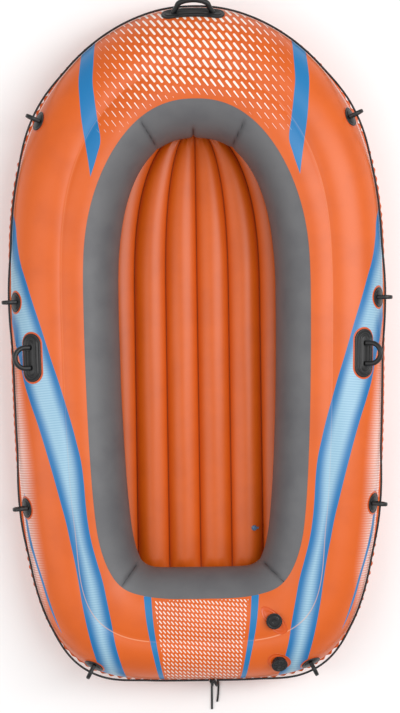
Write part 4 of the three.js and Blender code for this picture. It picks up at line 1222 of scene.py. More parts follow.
@dataclass(frozen=True)
class Arch:
    """An open arch that stands up along z: its feet, rounded crown and wall."""

    foot: float
    crown: float
    height: float
    rise: float
    wall: float
    thickness: float
    drop: float = 0.0
    corner: float = 0.42
    leg_steps: int = 6

    def build(self, name: str, frame: Matrix, steps: int = 36) -> bpy.types.Object:
        """Sweeps the arch in a frame whose x is across it and z is up.

        Args:
            name: The piece's name.
            frame: The arch's frame.
            steps: Sections round the crown.

        Returns:
            The arch.
        """
        shoulder = self.height - self.rise
        reach = self.crown / 2 - self.wall / 2
        line = []
        for i in range(self.leg_steps):
            share = i / self.leg_steps
            across = lerp(self.foot / 2 - self.wall / 2, reach, share)
            line.append((-across, lerp(-self.drop, shoulder, share)))
        for i in range(steps + 1):
            turn = math.pi * (1 - i / steps)
            line.append((reach * math.cos(turn), shoulder + (self.rise - self.wall / 2) * math.sin(turn)))
        line += [(-x, z) for x, z in reversed(line[:self.leg_steps])]
        path = [frame @ Vector((x, 0, z)) for x, z in line]
        corner = self.corner * min(self.wall, self.thickness)
        outline = rounded_outline(self.thickness, self.wall, corner)
        depth = (frame.to_3x3() @ Vector((0, 1, 0))).normalized()
        return sweep(name, path, lambda i, p: outline, self.sideways(path, depth))

    @staticmethod
    def sideways(path: Sequence[Vector], depth: Vector) -> Vector:
        """The direction that makes a section's first axis lie along the arch's thickness."""
        along = (path[1] - path[0]).normalized()
        return along.cross(depth).normalized()


# ---------------------------------------------------------------- studio

@dataclass
class Studio:
    """A pale floor, soft light and the camera straight over the boat, with the bow up."""

    camera_x: float = 6 * MM
    camera_y: float = -45 * MM
    camera_height: float = 4.5
    mid_height: float = 0.12
    view_length: float = 2076 * MM  # what the long side of the view takes in at mid-height
    roll: float = 0.83  # the boat lies a little askew, in degrees

    def build(self) -> None:
        """Makes the camera, the floor, the lights and the world."""
        self.make_camera()
        self.make_floor()
        self.make_lights()

    def make_camera(self) -> None:
        """Hangs the camera over the boat."""
        data = bpy.data.cameras.new("camera")
        data.sensor_fit = "AUTO"
        data.sensor_width = 36
        data.lens = 36 * (self.camera_height - self.mid_height) / self.view_length
        data.clip_end = 100
        camera = bpy.data.objects.new("camera", data)
        camera.location = (self.camera_x, self.camera_y, self.camera_height)
        camera.rotation_euler = (0, 0, math.radians(-self.roll))
        bpy.context.scene.collection.objects.link(camera)
        bpy.context.scene.camera = camera

    def make_floor(self) -> None:
        """Lays a wide floor that curves up at its far edges."""
        reach, rings, sides = 7.0, 24, 96
        vertices = [Vector((0, 0, -0.4 * MM))]
        for ring in range(1, rings + 1):
            radius = reach * ring / rings
            rise = 0.9 * smoothstep(radius, 5.0, reach) ** 2
            for i in range(sides):
                turn = 2 * math.pi * i / sides
                vertices.append(Vector((radius * math.cos(turn), radius * math.sin(turn), rise - 0.4 * MM)))
        faces = [(0, 1 + i, 1 + (i + 1) % sides) for i in range(sides)]
        for ring in range(rings - 1):
            a, b = 1 + ring * sides, 1 + (ring + 1) * sides
            faces += [(a + i, b + i, b + (i + 1) % sides, a + (i + 1) % sides) for i in range(sides)]
        floor = mesh_object("studio_floor", vertices, faces)
        material, add, shader = new_material("matt_white_board")
        place = add("ShaderNodeTexCoord").outputs["Object"]
        tone = add(NOISE, {"Scale": 3.0, "Detail": 2.0}, {"Vector": place})
        colour = add(MIX, {**COLOUR, 6: linear("#FDFDFD"), 7: linear("#FBFBFB")}, {0: tone})
        material.node_tree.links.new(colour.outputs[2], shader.inputs["Base Color"])
        shader.inputs["Roughness"].default_value = 0.9
        shader.inputs["Specular IOR Level"].default_value = 0.1
        floor.data.materials.append(material)

    def make_lights(self) -> None:
        """Hangs a large soft box to starboard, a smaller fill to port and even light all round."""
        for name, place, size, power in (
            ("key_softbox", (2.2, 0.5, 3.6), (1.3, 3.6), 95),
            ("fill_softbox", (-2.4, -0.3, 3.2), (1.2, 3.6), 40),
        ):
            data = bpy.data.lights.new(name, "AREA")
            data.shape = "RECTANGLE"
            data.size, data.size_y = size
            data.energy = power
            light = bpy.data.objects.new(name, data)
            light.location = place
            light.rotation_euler = (-Vector(place)).to_track_quat("-Z", "Y").to_euler()
            bpy.context.scene.collection.objects.link(light)
        world = bpy.data.worlds.new("even_light")
        world.use_nodes = True
        background = world.node_tree.nodes["Background"]
        background.inputs[0].default_value = (1, 1, 1, 1)
        background.inputs[1].default_value = 0.6
        bpy.context.scene.world = world
        bpy.context.scene.view_settings.view_transform = "Standard"


# ---------------------------------------------------------------- grab line

@dataclass
class GrabLine:
    """The braided line round the boat: its route through the eyes, its knot and its two tails."""

    form: HullForm
    finishes: Finishes
    holders: list[Place]
    radius: float = 3 * MM
    rest_degrees: float = 22
    rest_height: float = 4.6 * MM
    eye_height: float = 20 * MM
    bow_degrees: float = 31
    bow_height: float = 9.6 * MM
    pull_start: float = 8 * MM
    pull_length: float = 170 * MM
    knot_offset: float = 30 * MM
    knot_length: float = 22 * MM
    knot_width: float = 16 * MM
    gap: float = 0.3 * MM
    steps: int = 1500
    sides: int = 10
    strand_pitch: float = 26 * MM  # one turn of a braid strand
    tail_rest: float = 3.6 * MM
    long_tail: tuple[tuple[float, float, float], ...] = (
        (-0.5, 7.9, 0.0359), (-0.9, 12.8, 0.0673), (-1.3, 16.8, 0.1338), (-1.7, 20.3, 0.4177),
        (-2.1, 21.3, 0.7801), (-2.3, 27.3, 0.9432), (-2.5, 44.3, 0.9964), (-2.5, 84.3, 1),
        (-2.9, 118.3, 1),
    )
    short_tail: tuple[tuple[float, float, float], ...] = (
        (7, 7.1, 0.0287), (9, 12.8, 0.0673), (11.5, 17.3, 0.1338), (13.5, 20.3, 0.4177),
        (15, 21.3, 0.7801), (16.5, 28.3, 0.9432), (17.5, 46.3, 0.9964), (16.1, 74.3, 1),
        (13.1, 96.3, 1),
    )

    def rope_point(self, run: float) -> Vector:
        """The line's centre at a run: drawn up at each eye and resting on the skin between.

        Args:
            run: Distance along the edge from the bow.

        Returns:
            The point.
        """
        lap = 2 * self.form.half_run
        degrees, height = self.rest_degrees, self.rest_height
        supports = [(0.0, self.bow_degrees, self.bow_height)]
        supports += [(place.run, place.degrees, self.eye_height) for place in self.holders]
        for support_run, support_degrees, support_height in supports:
            apart = abs((run - support_run + 1.5 * lap) % lap - self.form.half_run)
            pull = 1 - smoothstep(apart, self.pull_start, self.pull_length)
            degrees += (support_degrees - self.rest_degrees) * pull
            height += (support_height - self.rest_height) * pull
        return self.form.skin_frame(run, OUTER, degrees) @ Vector((0, 0, height))

    def braid(self, length: float, steps: int) -> Callable[[int, Vector], list[tuple[float, float]]]:
        """A section whose strands wind along a rope.

        Args:
            length: The rope's length.
            steps: Sections along it.

        Returns:
            A function from a step and a point to the section's outline.
        """
        def outline(step: int, _: Vector) -> list[tuple[float, float]]:
            """One section with four rounded strands."""
            wind = 2 * math.pi * step / steps * length / self.strand_pitch
            points = []
            for i in range(self.sides):
                turn = 2 * math.pi * i / self.sides
                reach = self.radius * (0.9 + 0.1 * abs(math.cos(2 * (turn + wind))))
                points.append((reach * math.cos(turn), reach * math.sin(turn)))
            return points
        return outline

    def rope(self, name: str, path: Sequence[Vector], replaced: str) -> bpy.types.Object:
        """Makes and dresses one length of rope."""
        section = self.braid(path_length(path), len(path) - 1)
        piece = sweep(name, path, section, Vector((0.1, 0.2, 1)))
        return finish_piece(piece, HULL_BODY, self.finishes.of(Finish.ROPE), (replaced,))

    def knot_run(self) -> float:
        """Where the knot is tied, to starboard of the middle of the stern."""
        return self.form.half_run - self.knot_offset

    def build(self) -> None:
        """Makes the line, the knot and both tails."""
        start = self.knot_run() + self.knot_length / 2 + self.gap
        end = self.knot_run() + 2 * self.form.half_run - self.knot_length / 2 - self.gap
        path = [self.rope_point(lerp(start, end, i / self.steps)) for i in range(self.steps + 1)]
        self.rope("braided_grab_line", path, "grab_line")
        self.make_knot()
        low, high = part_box("stern_knot")
        knot = (low + high) / 2
        for name, table, node in (("long_tail", self.long_tail, "rope_tail_long"),
                                  ("short_tail", self.short_tail, "rope_tail_short")):
            points = [
                Vector((knot.x + a * MM, knot.y - b * MM, lerp(knot.z, self.tail_rest, fall)))
                for a, b, fall in table
            ]
            path = smooth_path(points, 36)
            tail = self.rope(name, path, node)

    def make_knot(self) -> None:
        """Ties the knot: three crossings drawn up tight."""
        frame = self.form.skin_frame(self.knot_run(), OUTER, self.rest_degrees)
        frame = lifted(frame, self.knot_width / 2 + self.gap)
        core = (self.knot_length / 2 - self.radius, self.knot_width / 2 - self.radius)
        path = []
        for i in range(120):
            t = 2 * math.pi * i / 120
            x = (math.sin(t) + 2 * math.sin(2 * t)) / 3
            y = (math.cos(t) - 2 * math.cos(2 * t)) / 3
            path.append(frame @ Vector((core[0] * x, core[1] * y, -core[1] * 0.9 * math.sin(3 * t))))
        section = self.braid(path_length(path), len(path))
        piece = sweep("tied_knot", path, section, Vector((0.3, 0.2, 1)), closed=True)
        finish_piece(piece, HULL_BODY, self.finishes.of(Finish.ROPE), ("stern_knot",))


# ---------------------------------------------------------------- hull skins

@dataclass
class HullSkins:
    """The welded panels of the hull, with their puckers, weld lines and mitred corners."""

    form: HullForm
    finishes: Finishes
    rows: int = 640
    top_columns: int = 46
    wall_columns: int = 26
    bottom_columns: int = 26
    floor_weld: float = -70
    pucker_pitch: float = 26 * MM
    pucker_depth: float = 2.6 * MM
    pucker_reach: float = 46 * MM
    flange_thickness: float = 2 * MM
    rope_degrees: float = 24
    fold_depth: float = 9 * MM
    fold_width: float = 5 * MM
    folds: tuple[tuple[float, float, float, float], ...] = (
        (-114, 562, -150, 618), (110, 562, 142, 618), (-180, -640, -226, -694), (178, -640, 238, -690),
        (-4, 584, -4, 602),
    )  # x and y of both ends in millimetres, from the floor out over the wall

    def stations(self) -> list[Station]:
        """The cross-sections that all the panels share."""
        lap = 2 * self.form.half_run
        return [self.form.station(lap * i / self.rows) for i in range(self.rows)]

    def pucker(self, run: float, strength: float = 1.0) -> float:
        """The wave of the welded edge at a run, from -1 to 1, stronger at the hull's corners.

        Args:
            run: Distance along the edge.
            strength: A factor.

        Returns:
            The wave's height share.
        """
        spot = self.form.edge_point(run)
        bend = max(smoothstep(spot.y, 250 * MM, 620 * MM), smoothstep(-spot.y, 300 * MM, 720 * MM))
        calm = 0.25 + 0.75 * bend
        drift = noise.noise(Vector((run * 9, 0.3, 1.7))) * 2.4
        wave = math.sin(2 * math.pi * run / self.pucker_pitch + drift)
        uneven = 0.65 + 0.6 * noise.noise(Vector((run * 21, 4.1, 0.2)))
        return strength * calm * wave * uneven

    def puckered(self, station: Station, side: int, angle: float, arc: float) -> Vector:
        """A skin point near the outer weld, drawn into puckers.

        Args:
            station: The cross-section.
            side: The lobe.
            angle: Angle over the lobe's equator.
            arc: Distance round the skin from the weld.

        Returns:
            The point.
        """
        fade = math.exp(-arc / self.pucker_reach * 2.2)
        sink = self.pucker_depth * (0.5 + 0.5 * self.pucker(station.run)) * fade
        loose = 0.5 * MM * noise.noise(Vector((station.run * 14, arc * 9, 2.0)))
        return station.lobe(side, angle, sink - loose * min(1.0, arc / (30 * MM)))

    def top_panel(self, stations: list[Station]) -> bpy.types.Object:
        """The printed top panel, from the outer weld over both lobes to the lining."""
        vertices, marks = [], []
        for station in stations:
            crease = station.crease_angle
            outer_arc = station.radius * crease
            inner_arc = station.radius * (crease - station.coaming_angle)
            rope_arc = station.radius * math.radians(self.rope_degrees)
            outer_columns = int(self.top_columns * 0.74)
            for j in range(self.top_columns):
                if j <= outer_columns:
                    angle = crease * j / outer_columns
                    side, arc = OUTER, station.radius * angle
                else:
                    share = (j - outer_columns) / (self.top_columns - 1 - outer_columns)
                    angle = lerp(crease, station.coaming_angle, share)
                    side, arc = INNER, outer_arc + inner_arc * share
                point = self.puckered(station, side, angle, arc)
                point.z -= 0.9 * MM * math.exp(-((arc - outer_arc) / (4 * MM)) ** 2)
                vertices.append(point)
                marks.append((arc - rope_arc, outer_arc + inner_arc - arc, arc - outer_arc))
        faces = grid_faces(len(stations), self.top_columns, ring=True)
        piece = mesh_object("printed_top_panel", vertices, faces)
        layer = piece.data.attributes.new("section", "FLOAT_VECTOR", "POINT")
        layer.data.foreach_set("vector", [value for mark in marks for value in mark])
        return piece

    def wall_panel(self, stations: list[Station]) -> bpy.types.Object:
        """The grey lining, with a sharp fold down each corner of the cockpit."""
        vertices, marks = [], []
        for station in stations:
            for j in range(self.wall_columns):
                share = j / (self.wall_columns - 1)
                angle = lerp(station.coaming_angle, math.radians(self.floor_weld), share)
                point = station.lobe(INNER, angle)
                away = self.fold_distance(point)
                sink = self.fold_depth * math.exp(-away / self.fold_width) * min(1, share * 8)
                loose = 0.6 * MM * noise.noise(Vector((point.x * 9, point.y * 9, point.z * 12)))
                edge = 0.8 * MM * math.exp(-share * 40)
                vertices.append(station.lobe(INNER, angle, sink + loose * min(1, share * 6) + edge))
                marks.append(away)
        faces = grid_faces(len(stations), self.wall_columns, ring=True)
        piece = mesh_object("grey_cockpit_lining", vertices, faces)
        # distance from the nearest fold, where the lining's material paints shade
        layer = piece.data.attributes.new("from_crease", "FLOAT", "POINT")
        layer.data.foreach_set("value", marks)
        return piece

    def fold_distance(self, point: Vector) -> float:
        """How far a point lies in plan from the nearest fold of the lining.

        Args:
            point: The point.

        Returns:
            The distance.
        """
        nearest = 1.0
        for x0, y0, x1, y1 in self.folds:
            start, along = Vector((x0, y0)) * MM, Vector((x1 - x0, y1 - y0)) * MM
            share = clamp((point.xy - start).dot(along) / along.length_squared, 0, 1)
            nearest = min(nearest, (point.xy - start - along * share).length)
        return nearest

    def bottom_panel(self, stations: list[Station]) -> bpy.types.Object:
        """The plain panel under the hull, flat where it rests on the ground."""
        vertices = []
        for station in stations:
            crease = station.crease_angle
            half = self.bottom_columns * 6 // 10
            for j in range(self.bottom_columns):
                if j <= half:
                    angle, side = -crease * j / half, OUTER
                    arc = -angle * station.radius
                else:
                    share = (j - half) / (self.bottom_columns - 1 - half)
                    angle, side = lerp(-crease, math.radians(self.floor_weld), share), INNER
                    arc = 1.0
                vertices.append(self.puckered(station, side, angle, arc))
        faces = grid_faces(len(stations), self.bottom_columns, ring=True)
        return mesh_object("plain_bottom_panel", vertices, faces)

    def flange(self) -> bpy.types.Object:
        """The welded edge that stands out between the top and bottom panels, gathered in scallops."""
        lap = 2 * self.form.half_run
        rows = 1500
        vertices = []
        columns = 5
        for i in range(rows):
            station = self.form.station(lap * i / rows)
            wave = self.pucker(station.run)
            width = self.form.seam_width * (0.95 + 0.6 * wave)
            for face in (1, -1):
                for j in range(columns):
                    share = j / (columns - 1) if face > 0 else 1 - j / (columns - 1)
                    out = station.half_width - 1.2 * MM + (width + 1.2 * MM) * share
                    flutter = 2.4 * MM * self.flutter(station.run) * share
                    vertices.append(station.point(out, face * self.flange_thickness / 2 + flutter))
        return mesh_object("welded_edge", vertices, grid_faces(rows, 2 * columns, ring=True, tube=True))

    def flutter(self, run: float) -> float:
        """The up and down wave of the flange at a run, a quarter wave behind its scallops."""
        return self.pucker(run + self.pucker_pitch / 4)

    def build(self) -> None:
        """Makes and dresses the panels."""
        stations = self.stations()
        orange = self.finishes.of(Finish.ORANGE)
        finish_piece(self.top_panel(stations), HULL_BODY, self.finishes.printed,
                     ("hull_top_panel",))
        finish_piece(self.wall_panel(stations), HULL_BODY, self.finishes.lining,
                     ("cockpit_wall_panel",))
        finish_piece(self.bottom_panel(stations), HULL_BODY, orange,
                     ("hull_bottom_panel",))
        finish_piece(self.flange(), HULL_BODY, orange, ("seam_flange",))


# ---------------------------------------------------------------- air floor

@dataclass
class AirFloor:
    """The inflated floor: six ribs between welded creases, gathered at both ends."""

    form: HullForm
    finishes: Finishes
    rib_pitch: float = 93 * MM
    rib_count: int = 6
    crease_height: float = 24 * MM
    edge_height: float = 34 * MM
    rise: float = 26 * MM
    fullness: float = 0.62
    end_ease: float = 60 * MM
    least_rib: float = 10 * MM
    edge_gap: float = 0.8 * MM
    rows: int = 260
    columns: int = 18

    def outline(self) -> list[Vector]:
        """The cockpit wall in plan at the height of the floor's edge."""
        points = []
        count = 400
        for i in range(count + 1):
            station = self.form.station(self.form.half_run * i / count)
            height = self.edge_height - station.centre_z
            reach = math.sqrt(station.radius ** 2 - height ** 2)
            points.append(station.point(-(station.offset + reach + self.edge_gap), height))
        return points

    @staticmethod
    def half_width(outline: Sequence[Vector], y: float) -> float:
        """The floor's half-width at a given y."""
        for a, b in zip(outline, outline[1:]):
            if a.y >= y >= b.y and a.y > b.y:
                return lerp(a.x, b.x, (a.y - y) / (a.y - b.y))
        return 0.0

    def crease_lines(self, outline: Sequence[Vector], y: float, beam: float) -> list[float]:
        """The x of each crease at a given y, with the floor's edges at the ends."""
        half = self.half_width(outline, y)
        share = half / beam if y > self.form.beam_y else 1.0
        pitch = min(self.rib_pitch * share, (half - self.least_rib) / (self.rib_count / 2 - 1))
        pitch = max(pitch, half / self.rib_count)
        half_count = self.rib_count // 2
        return [-half, *(k * pitch for k in range(1 - half_count, half_count)), half]

    def height(self, share: float, width: float, left: float, right: float, from_end: float,
               y: float, rib: int) -> float:
        """The sheet's height at a share across one rib.

        Args:
            share: The place across the rib, from 0 to 1.
            width: The rib's width.
            left: The height of its left crease.
            right: The height of its right crease.
            from_end: The distance from the nearer end of the floor.
            y: The place along the boat.
            rib: The rib's number.

        Returns:
            The height.
        """
        rise = self.rise * min(1.0, width / self.rib_pitch)
        swell = math.sin(math.pi * clamp(share, 0, 1)) ** self.fullness
        drift = 1.2 * MM * noise.noise(Vector((rib * 3.1, y * 5, share * 2)))
        body = lerp(left, right, share) + (rise + drift) * swell
        ease = smoothstep(from_end, -20 * MM, self.end_ease)
        gather = 1.6 * MM * math.sin(share * math.pi * 5) * math.exp(-((from_end - 30 * MM) / (22 * MM)) ** 2)
        return lerp(self.edge_height, body, ease) + gather * swell

    def build(self) -> None:
        """Makes and dresses the ribbed sheet."""
        outline = self.outline()
        bow, stern = outline[0].y - 1.5 * MM, outline[-1].y + 1.5 * MM
        beam = self.half_width(outline, self.form.beam_y)
        vertices, marks = [], []
        for i in range(self.rows + 1):
            y = lerp(stern, bow, 0.5 - 0.5 * math.cos(math.pi * i / self.rows))
            lines = self.crease_lines(outline, y, beam)
            from_end = min(y - stern, bow - y)
            for rib, (left, right) in enumerate(zip(lines, lines[1:])):
                low_left = self.edge_height if rib == 0 else self.crease_height
                low_right = self.edge_height if rib == self.rib_count - 1 else self.crease_height
                for j in range(self.columns + 1):
                    if rib and j == 0:
                        continue
                    share = 0.5 - 0.5 * math.cos(math.pi * j / self.columns)
                    z = self.height(share, right - left, low_left, low_right, from_end, y, rib)
                    vertices.append(Vector((lerp(left, right, share), y, z)))
                    marks.append((right - left) * min(share, 1 - share))
        count = self.rib_count * self.columns + 1
        piece = mesh_object("ribbed_air_floor", vertices, grid_faces(self.rows + 1, count))
        # distance from the nearest crease, where the floor's material paints shade
        layer = piece.data.attributes.new("from_crease", "FLOAT", "POINT")
        layer.data.foreach_set("value", marks)
        finish_piece(piece, HULL_BODY, self.finishes.floor, ("floor_top_sheet",))
        for name in ("floor_bottom_sheet", "chamber_baffle", *(f"floor_web_{i}" for i in range(1, 6))):
            self.finishes.dress_node(name, Finish.ORANGE)


# ---------------------------------------------------------------- moulded fittings

@dataclass
class RopeHolders:
    """Eight holders along the hull: a welded patch and an eye that the grab line runs through."""

    form: HullForm
    finishes: Finishes
    places: list[Place]
    patch_radius: float = 29 * MM
    weld_radius: float = 34 * MM
    eye: Arch = Arch(42 * MM, 42 * MM, 38 * MM, 21 * MM, 8 * MM, 11 * MM)
    patch_thickness: float = 2.4 * MM
    gap: float = 0.3 * MM

    def build(self) -> None:
        """Makes and dresses every holder."""
        black = self.finishes.of(Finish.FITTING)
        dome = ((0, 0.2), (0.2, 2.0), (1.2, 2.7), (4.2, 2.7), (5.2, 1.9), (6.4, 1.9), (8, 3.0),
                (13, 3.7), (20, 4.3), (28, 4.6))
        for index, place in enumerate(self.places, start=1):
            weld = skin_pad(self.form, f"holder_weld_{index}", place, self.weld_radius, self.weld_radius,
                            scaled(WELD_RING), 56)
            finish_piece(weld, HULL_BODY, self.finishes.weld)
            patch = skin_pad(self.form, f"holder_patch_{index}", place, self.patch_radius,
                             self.patch_radius, scaled(dome), 56)
            finish_piece(patch, HULL_BODY, black, (f"rope_patch_{index}",))
            frame = lifted(self.form.skin_frame(place.run, place.side, place.degrees),
                           2 * self.gap + self.patch_thickness)
            turned = frame @ Matrix.Rotation(math.pi / 2, 4, "Z")
            eye = self.eye.build(f"holder_eye_{index}", turned)
            finish_piece(eye, HULL_BODY, black, (f"rope_eye_{index}",))


WELD_RING = ((0, 0.15), (0.8, 0.75), (2.4, 0.75), (3.2, 0.3), (4.4, 0.3), (5.2, 0.6), (30, 0.6))


def scaled(profile: Sequence[tuple[float, float]]) -> list[tuple[float, float]]:
    """A profile in millimetres as one in metres."""
    return [(inset * MM, height * MM) for inset, height in profile]


@dataclass
class Oarlocks:
    """The port and starboard oarlocks: a long welded base and a ring that leans outboard."""

    form: HullForm
    finishes: Finishes
    place: Place
    half_length: float = 69 * MM
    half_width: float = 30 * MM
    thickness: float = 4 * MM
    lean: float = 34
    ring: Arch = Arch(72 * MM, 72 * MM, 52 * MM, 36 * MM, 14 * MM, 14 * MM)
    gap: float = 0.3 * MM

    def build(self) -> None:
        """Makes and dresses both oarlocks."""
        black = self.finishes.of(Finish.FITTING)
        steps = ((0, 0.2), (0.3, 3.2), (1.4, 4.2), (5.5, 4.4), (6.4, 3.2), (8.4, 3.2), (9.4, 5.4),
                 (12.5, 6.2), (14, 5.0), (17.5, 4.6), (19, 6.4), (24, 7.0), (29, 7.2))
        tilt = self.ring.thickness / 2 * math.sin(math.radians(self.lean))
        for side, place in (("starboard", self.place), ("port", self.place.mirrored(self.form))):
            weld = skin_pad(self.form, f"oarlock_weld_{side}", place, self.half_length + 5 * MM,
                            self.half_width + 5 * MM, scaled(WELD_RING), 96)
            finish_piece(weld, HULL_BODY, self.finishes.weld)
            base = skin_pad(self.form, f"oarlock_pad_{side}", place, self.half_length,
                            self.half_width, scaled(steps), 96)
            finish_piece(base, HULL_BODY, black, (f"oarlock_base_{side}",))
            frame = lifted(self.form.skin_frame(place.run, place.side, place.degrees),
                           2 * self.gap + self.thickness + tilt, -self.lean)
            ring = self.ring.build(f"oarlock_horn_{side}", frame)
            finish_piece(ring, HULL_BODY, black, (f"oarlock_ring_{side}",))


@dataclass
class BowHandle:
    """The carry handle at the bow: a welded base, a broad grip and an eye for the grab line."""

    form: HullForm
    finishes: Finishes
    place: Place = Place(0.0, OUTER, 39)
    half_length: float = 95 * MM
    half_width: float = 26 * MM
    thickness: float = 4 * MM
    grip: Arch = Arch(138 * MM, 104 * MM, 40 * MM, 26 * MM, 14 * MM, 16 * MM, drop=16 * MM)
    eye: Arch = Arch(26 * MM, 26 * MM, 20 * MM, 13 * MM, 6 * MM, 11 * MM)
    gap: float = 0.3 * MM

    def build(self) -> None:
        """Makes and dresses the handle."""
        black = self.finishes.of(Finish.FITTING)
        steps = ((0, 0.2), (0.3, 3.0), (1.4, 4.0), (6.0, 4.2), (7.0, 3.2), (9.5, 3.2), (10.6, 4.6),
                 (14, 4.8), (17, 3.2), (25, 2.6))
        pad = skin_pad(self.form, "handle_pad", self.place, self.half_length, self.half_width,
                       scaled(steps), 112)
        finish_piece(pad, HULL_BODY, black, ("bow_handle_base",))
        frame = lifted(self.form.skin_frame(self.place.run, self.place.side, self.place.degrees),
                       2 * self.gap + self.thickness)
        grip = self.grip.build("handle_grip", frame)
        finish_piece(grip, HULL_BODY, black, ("bow_handle_grip",))
        top = lifted(frame, self.grip.height + self.gap) @ Matrix.Rotation(math.pi / 2, 4, "Z")
        eye = self.eye.build("handle_line_eye", top)
        finish_piece(eye, HULL_BODY, black, ("bow_rope_eye",))


# ---------------------------------------------------------------- valves

class CapStyle(Enum):
    """How the top of a valve cap is moulded."""

    RINGED = "ringed"
    SPOKED = "spoked"


@dataclass
class MainValve:
    """A chamber's valve: the welded neck, the screwed insert, its seal, strap and cap."""

    form: HullForm
    finishes: Finishes
    name: str
    place: Place
    style: CapStyle
    neck: float = 20
    bore: float = 17
    neck_top: float = 2
    seal_bottom: float = 2.3
    rim_bottom: float = 4.1
    rim_top: float = 6.1
    spout: float = 14
    spout_top: float = 11.1
    passage: float = 10.5
    cap_bottom: float = 11.4
    cap_top: float = 14.4
    cap_radius: float = 23
    skirt: float = 17.3
    strap_bottom: float = 6.4
    strap_thickness: float = 1.6
    tab_width: float = 8

    def turned(self, part: str, corners: Sequence[tuple[float, float]], node: str, rounding: float,
               shape: Callable[[float, float, float], tuple[float, float]] | None = None) -> None:
        """Turns, dresses and rides one piece of the valve.

        Args:
            part: The piece's own name.
            corners: Its profile in millimetres.
            node: The end of the CAD node's name.
            rounding: The size of its rounded corners, in millimetres.
            shape: Changes the profile round the piece.
        """
        profile = scaled(rounded_profile(corners, rounding))
        frame = self.form.skin_frame(self.place.run, self.place.side, self.place.degrees)
        piece = turned_piece(f"{self.name}_{part}", profile, frame, 72, shape)
        body = HULL_BODY if node == "base" else f"{self.name}_{node}"
        material = self.finishes.of(Finish.VALVE)
        finish_piece(piece, body, material, (f"{self.name}_{node}",))

    def spokes(self, turn: float, radius: float, height: float) -> tuple[float, float]:
        """Raises eight low spokes on a cap's top."""
        on_top = height > (self.cap_top - 1.2) * MM and 4 * MM < radius < 17 * MM
        ridge = max(0.0, math.cos(8 * turn)) ** 2 if on_top else 0.0
        return radius, height - (1 - ridge) * (0.9 * MM if on_top else 0.0)

    def grips(self, turn: float, radius: float, height: float) -> tuple[float, float]:
        """Scallops a cap's rim for the fingers."""
        on_rim = radius > (self.cap_radius - 1.5) * MM
        return radius - (0.35 * MM * (1 + math.cos(24 * turn)) if on_rim else 0.0), height

    def cap_shape(self, turn: float, radius: float, height: float) -> tuple[float, float]:
        """The shape of the cap's top and rim for the valve's style."""
        if self.style is CapStyle.SPOKED:
            radius, height = self.spokes(turn, radius, height)
        return self.grips(turn, radius, height)

    def build(self) -> None:
        """Makes and dresses the valve."""
        weld = skin_pad(self.form, f"{self.name}_weld", self.place, 36 * MM, 36 * MM,
                        scaled(((0, 0.15), (0.8, 0.75), (2.4, 0.75), (3.2, 0.3), (9.5, 0.3),
                                (10.3, 0.9), (11.6, 0.9), (12.4, 0.5), (15.4, 0.5))), 72)
        finish_piece(weld, HULL_BODY, self.finishes.weld)
        self.turned("neck", [(self.bore, -16), (self.neck, -16), (self.neck, self.neck_top),
                             (self.bore, self.neck_top), (self.bore, -16)], "base", 0.7)
        self.turned("gasket", [(self.bore, self.seal_bottom), (self.neck, self.seal_bottom),
                               (self.neck, self.seal_bottom + 1.5), (self.bore, self.seal_bottom + 1.5),
                               (self.bore, self.seal_bottom)], "seal", 0.7)
        self.turned("screw_insert", [
            (self.passage, -10), (16.3, -10), (16.3, self.rim_bottom), (self.neck, self.rim_bottom),
            (self.neck, self.rim_top), (self.spout, self.rim_top), (self.spout, self.spout_top),
            (self.passage, self.spout_top), (self.passage, -10)], "insert", 0.6)
        self.make_strap()
        flat = [(18.2, self.cap_top), (17.2, self.cap_top - 1.0), (15.2, self.cap_top - 1.0),
                (14.2, self.cap_top), (6.5, self.cap_top), (5.4, self.cap_top - 1.3), (0, self.cap_top - 1.6)]
        self.turned("cap_top", [
            (0, self.cap_bottom), (14.3, self.cap_bottom), (14.3, 8.3), (self.skirt, 8.3),
            (self.skirt, self.cap_bottom), (self.cap_radius, self.cap_bottom),
            (self.cap_radius, self.cap_top), *flat], "cap", 0.5, self.cap_shape)
        self.finishes.dress_node(f"{self.name}_flap", Finish.VALVE)

    def make_strap(self) -> None:
        """Makes the collar and the tab that tie the cap to the insert."""
        frame = self.form.skin_frame(self.place.run, self.place.side, self.place.degrees)
        low, top = self.strap_bottom, self.strap_bottom + self.strap_thickness
        inner = self.spout + 0.3

        def tabbed(turn: float, radius: float, height: float) -> tuple[float, float]:
            """Draws the collar's rim out into a tab on the frame's x."""
            if radius < (self.neck - 2) * MM:
                return radius, height
            half = math.asin(self.tab_width / 2 / self.cap_radius)
            away = abs((turn + math.pi) % (2 * math.pi) - math.pi)
            reach = 1 - smoothstep(away, half * 0.8, half * 1.5)
            return radius + (self.cap_radius - self.neck) * MM * reach, height

        profile = scaled(rounded_profile([(inner, low), (self.neck, low), (self.neck, top),
                                          (inner, top), (inner, low)], 0.4))
        piece = turned_piece(f"{self.name}_collar", profile, frame, 96, tabbed)
        finish_piece(piece, f"{self.name}_strap", self.finishes.of(Finish.VALVE),
                     (f"{self.name}_strap",))


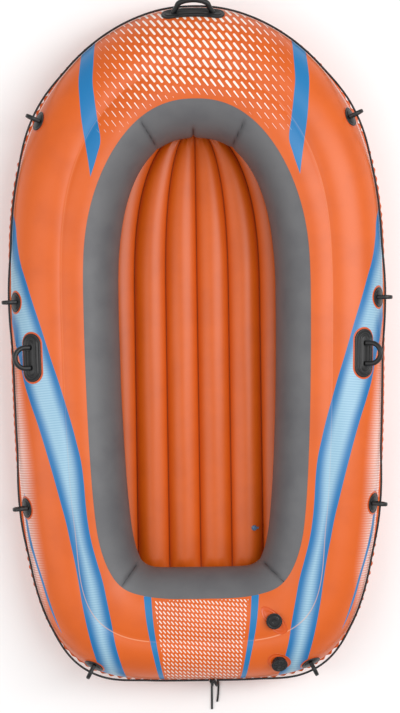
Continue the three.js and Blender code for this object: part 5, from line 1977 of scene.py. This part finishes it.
@dataclass
class FloorValve:
    """The air floor's small clear valve: base, stem, strap and plug, as the frame has them."""

    finishes: Finishes
    parts: tuple[tuple[str, str], ...] = (
        ("floor_valve_base", "hull"), ("floor_valve_stem", "floor_valve_stem"),
        ("floor_valve_strap", "floor_valve_stem"), ("floor_valve_plug", "floor_valve_plug"),
    )

    def build(self) -> None:
        """Rounds a copy of each piece and dresses it."""
        for node, body in self.parts:
            source = bpy.data.objects[node]
            piece = bpy.data.objects.new(f"{node}_moulded", source.data.copy())
            bpy.context.scene.collection.objects.link(piece)
            softened = bmesh.new()
            softened.from_mesh(piece.data)
            bmesh.ops.remove_doubles(softened, verts=softened.verts, dist=0.01 * MM)
            bmesh.ops.dissolve_limit(softened, angle_limit=math.radians(2), verts=softened.verts,
                                     edges=softened.edges)
            sharp = [edge for edge in softened.edges
                     if len(edge.link_faces) == 2 and edge.calc_face_angle(0) > math.radians(40)]
            bmesh.ops.bevel(softened, geom=sharp, offset=0.35 * MM, segments=2, profile=0.5,
                            affect="EDGES", clamp_overlap=True)
            for face in softened.faces:
                face.smooth = True
            softened.to_mesh(piece.data)
            softened.free()
            finish_piece(piece, body, self.finishes.of(Finish.CLEAR), (node,))


# ---------------------------------------------------------------- the boat


def main() -> None:
    """Builds the boat over its frame, piece by piece."""
    logging.basicConfig(level=logging.INFO, format="%(name)s: %(message)s")
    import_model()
    form = HullForm()
    finishes = Finishes()
    starboard = [Place(share * form.half_run, OUTER, HOLDER_DEGREES) for share in HOLDER_SHARES]
    holders = starboard + [place.mirrored(form) for place in reversed(starboard)]
    oarlock = Place(OARLOCK_SHARE * form.half_run, OUTER, OARLOCK_DEGREES)
    outer_valve = Place(OUTER_VALVE_SHARE * form.half_run, OUTER, OUTER_VALVE_DEGREES)
    inner_valve = Place(INNER_VALVE_SHARE * form.half_run, INNER, INNER_VALVE_DEGREES)
    Studio().build()
    GrabLine(form, finishes, holders).build()
    HullSkins(form, finishes).build()
    AirFloor(form, finishes).build()
    RopeHolders(form, finishes, holders).build()
    Oarlocks(form, finishes, oarlock).build()
    BowHandle(form, finishes).build()
    MainValve(form, finishes, "outer_valve", outer_valve, CapStyle.SPOKED).build()
    MainValve(form, finishes, "inner_valve", inner_valve, CapStyle.RINGED).build()
    FloorValve(finishes).build()


if __name__ == "__main__":
    main()
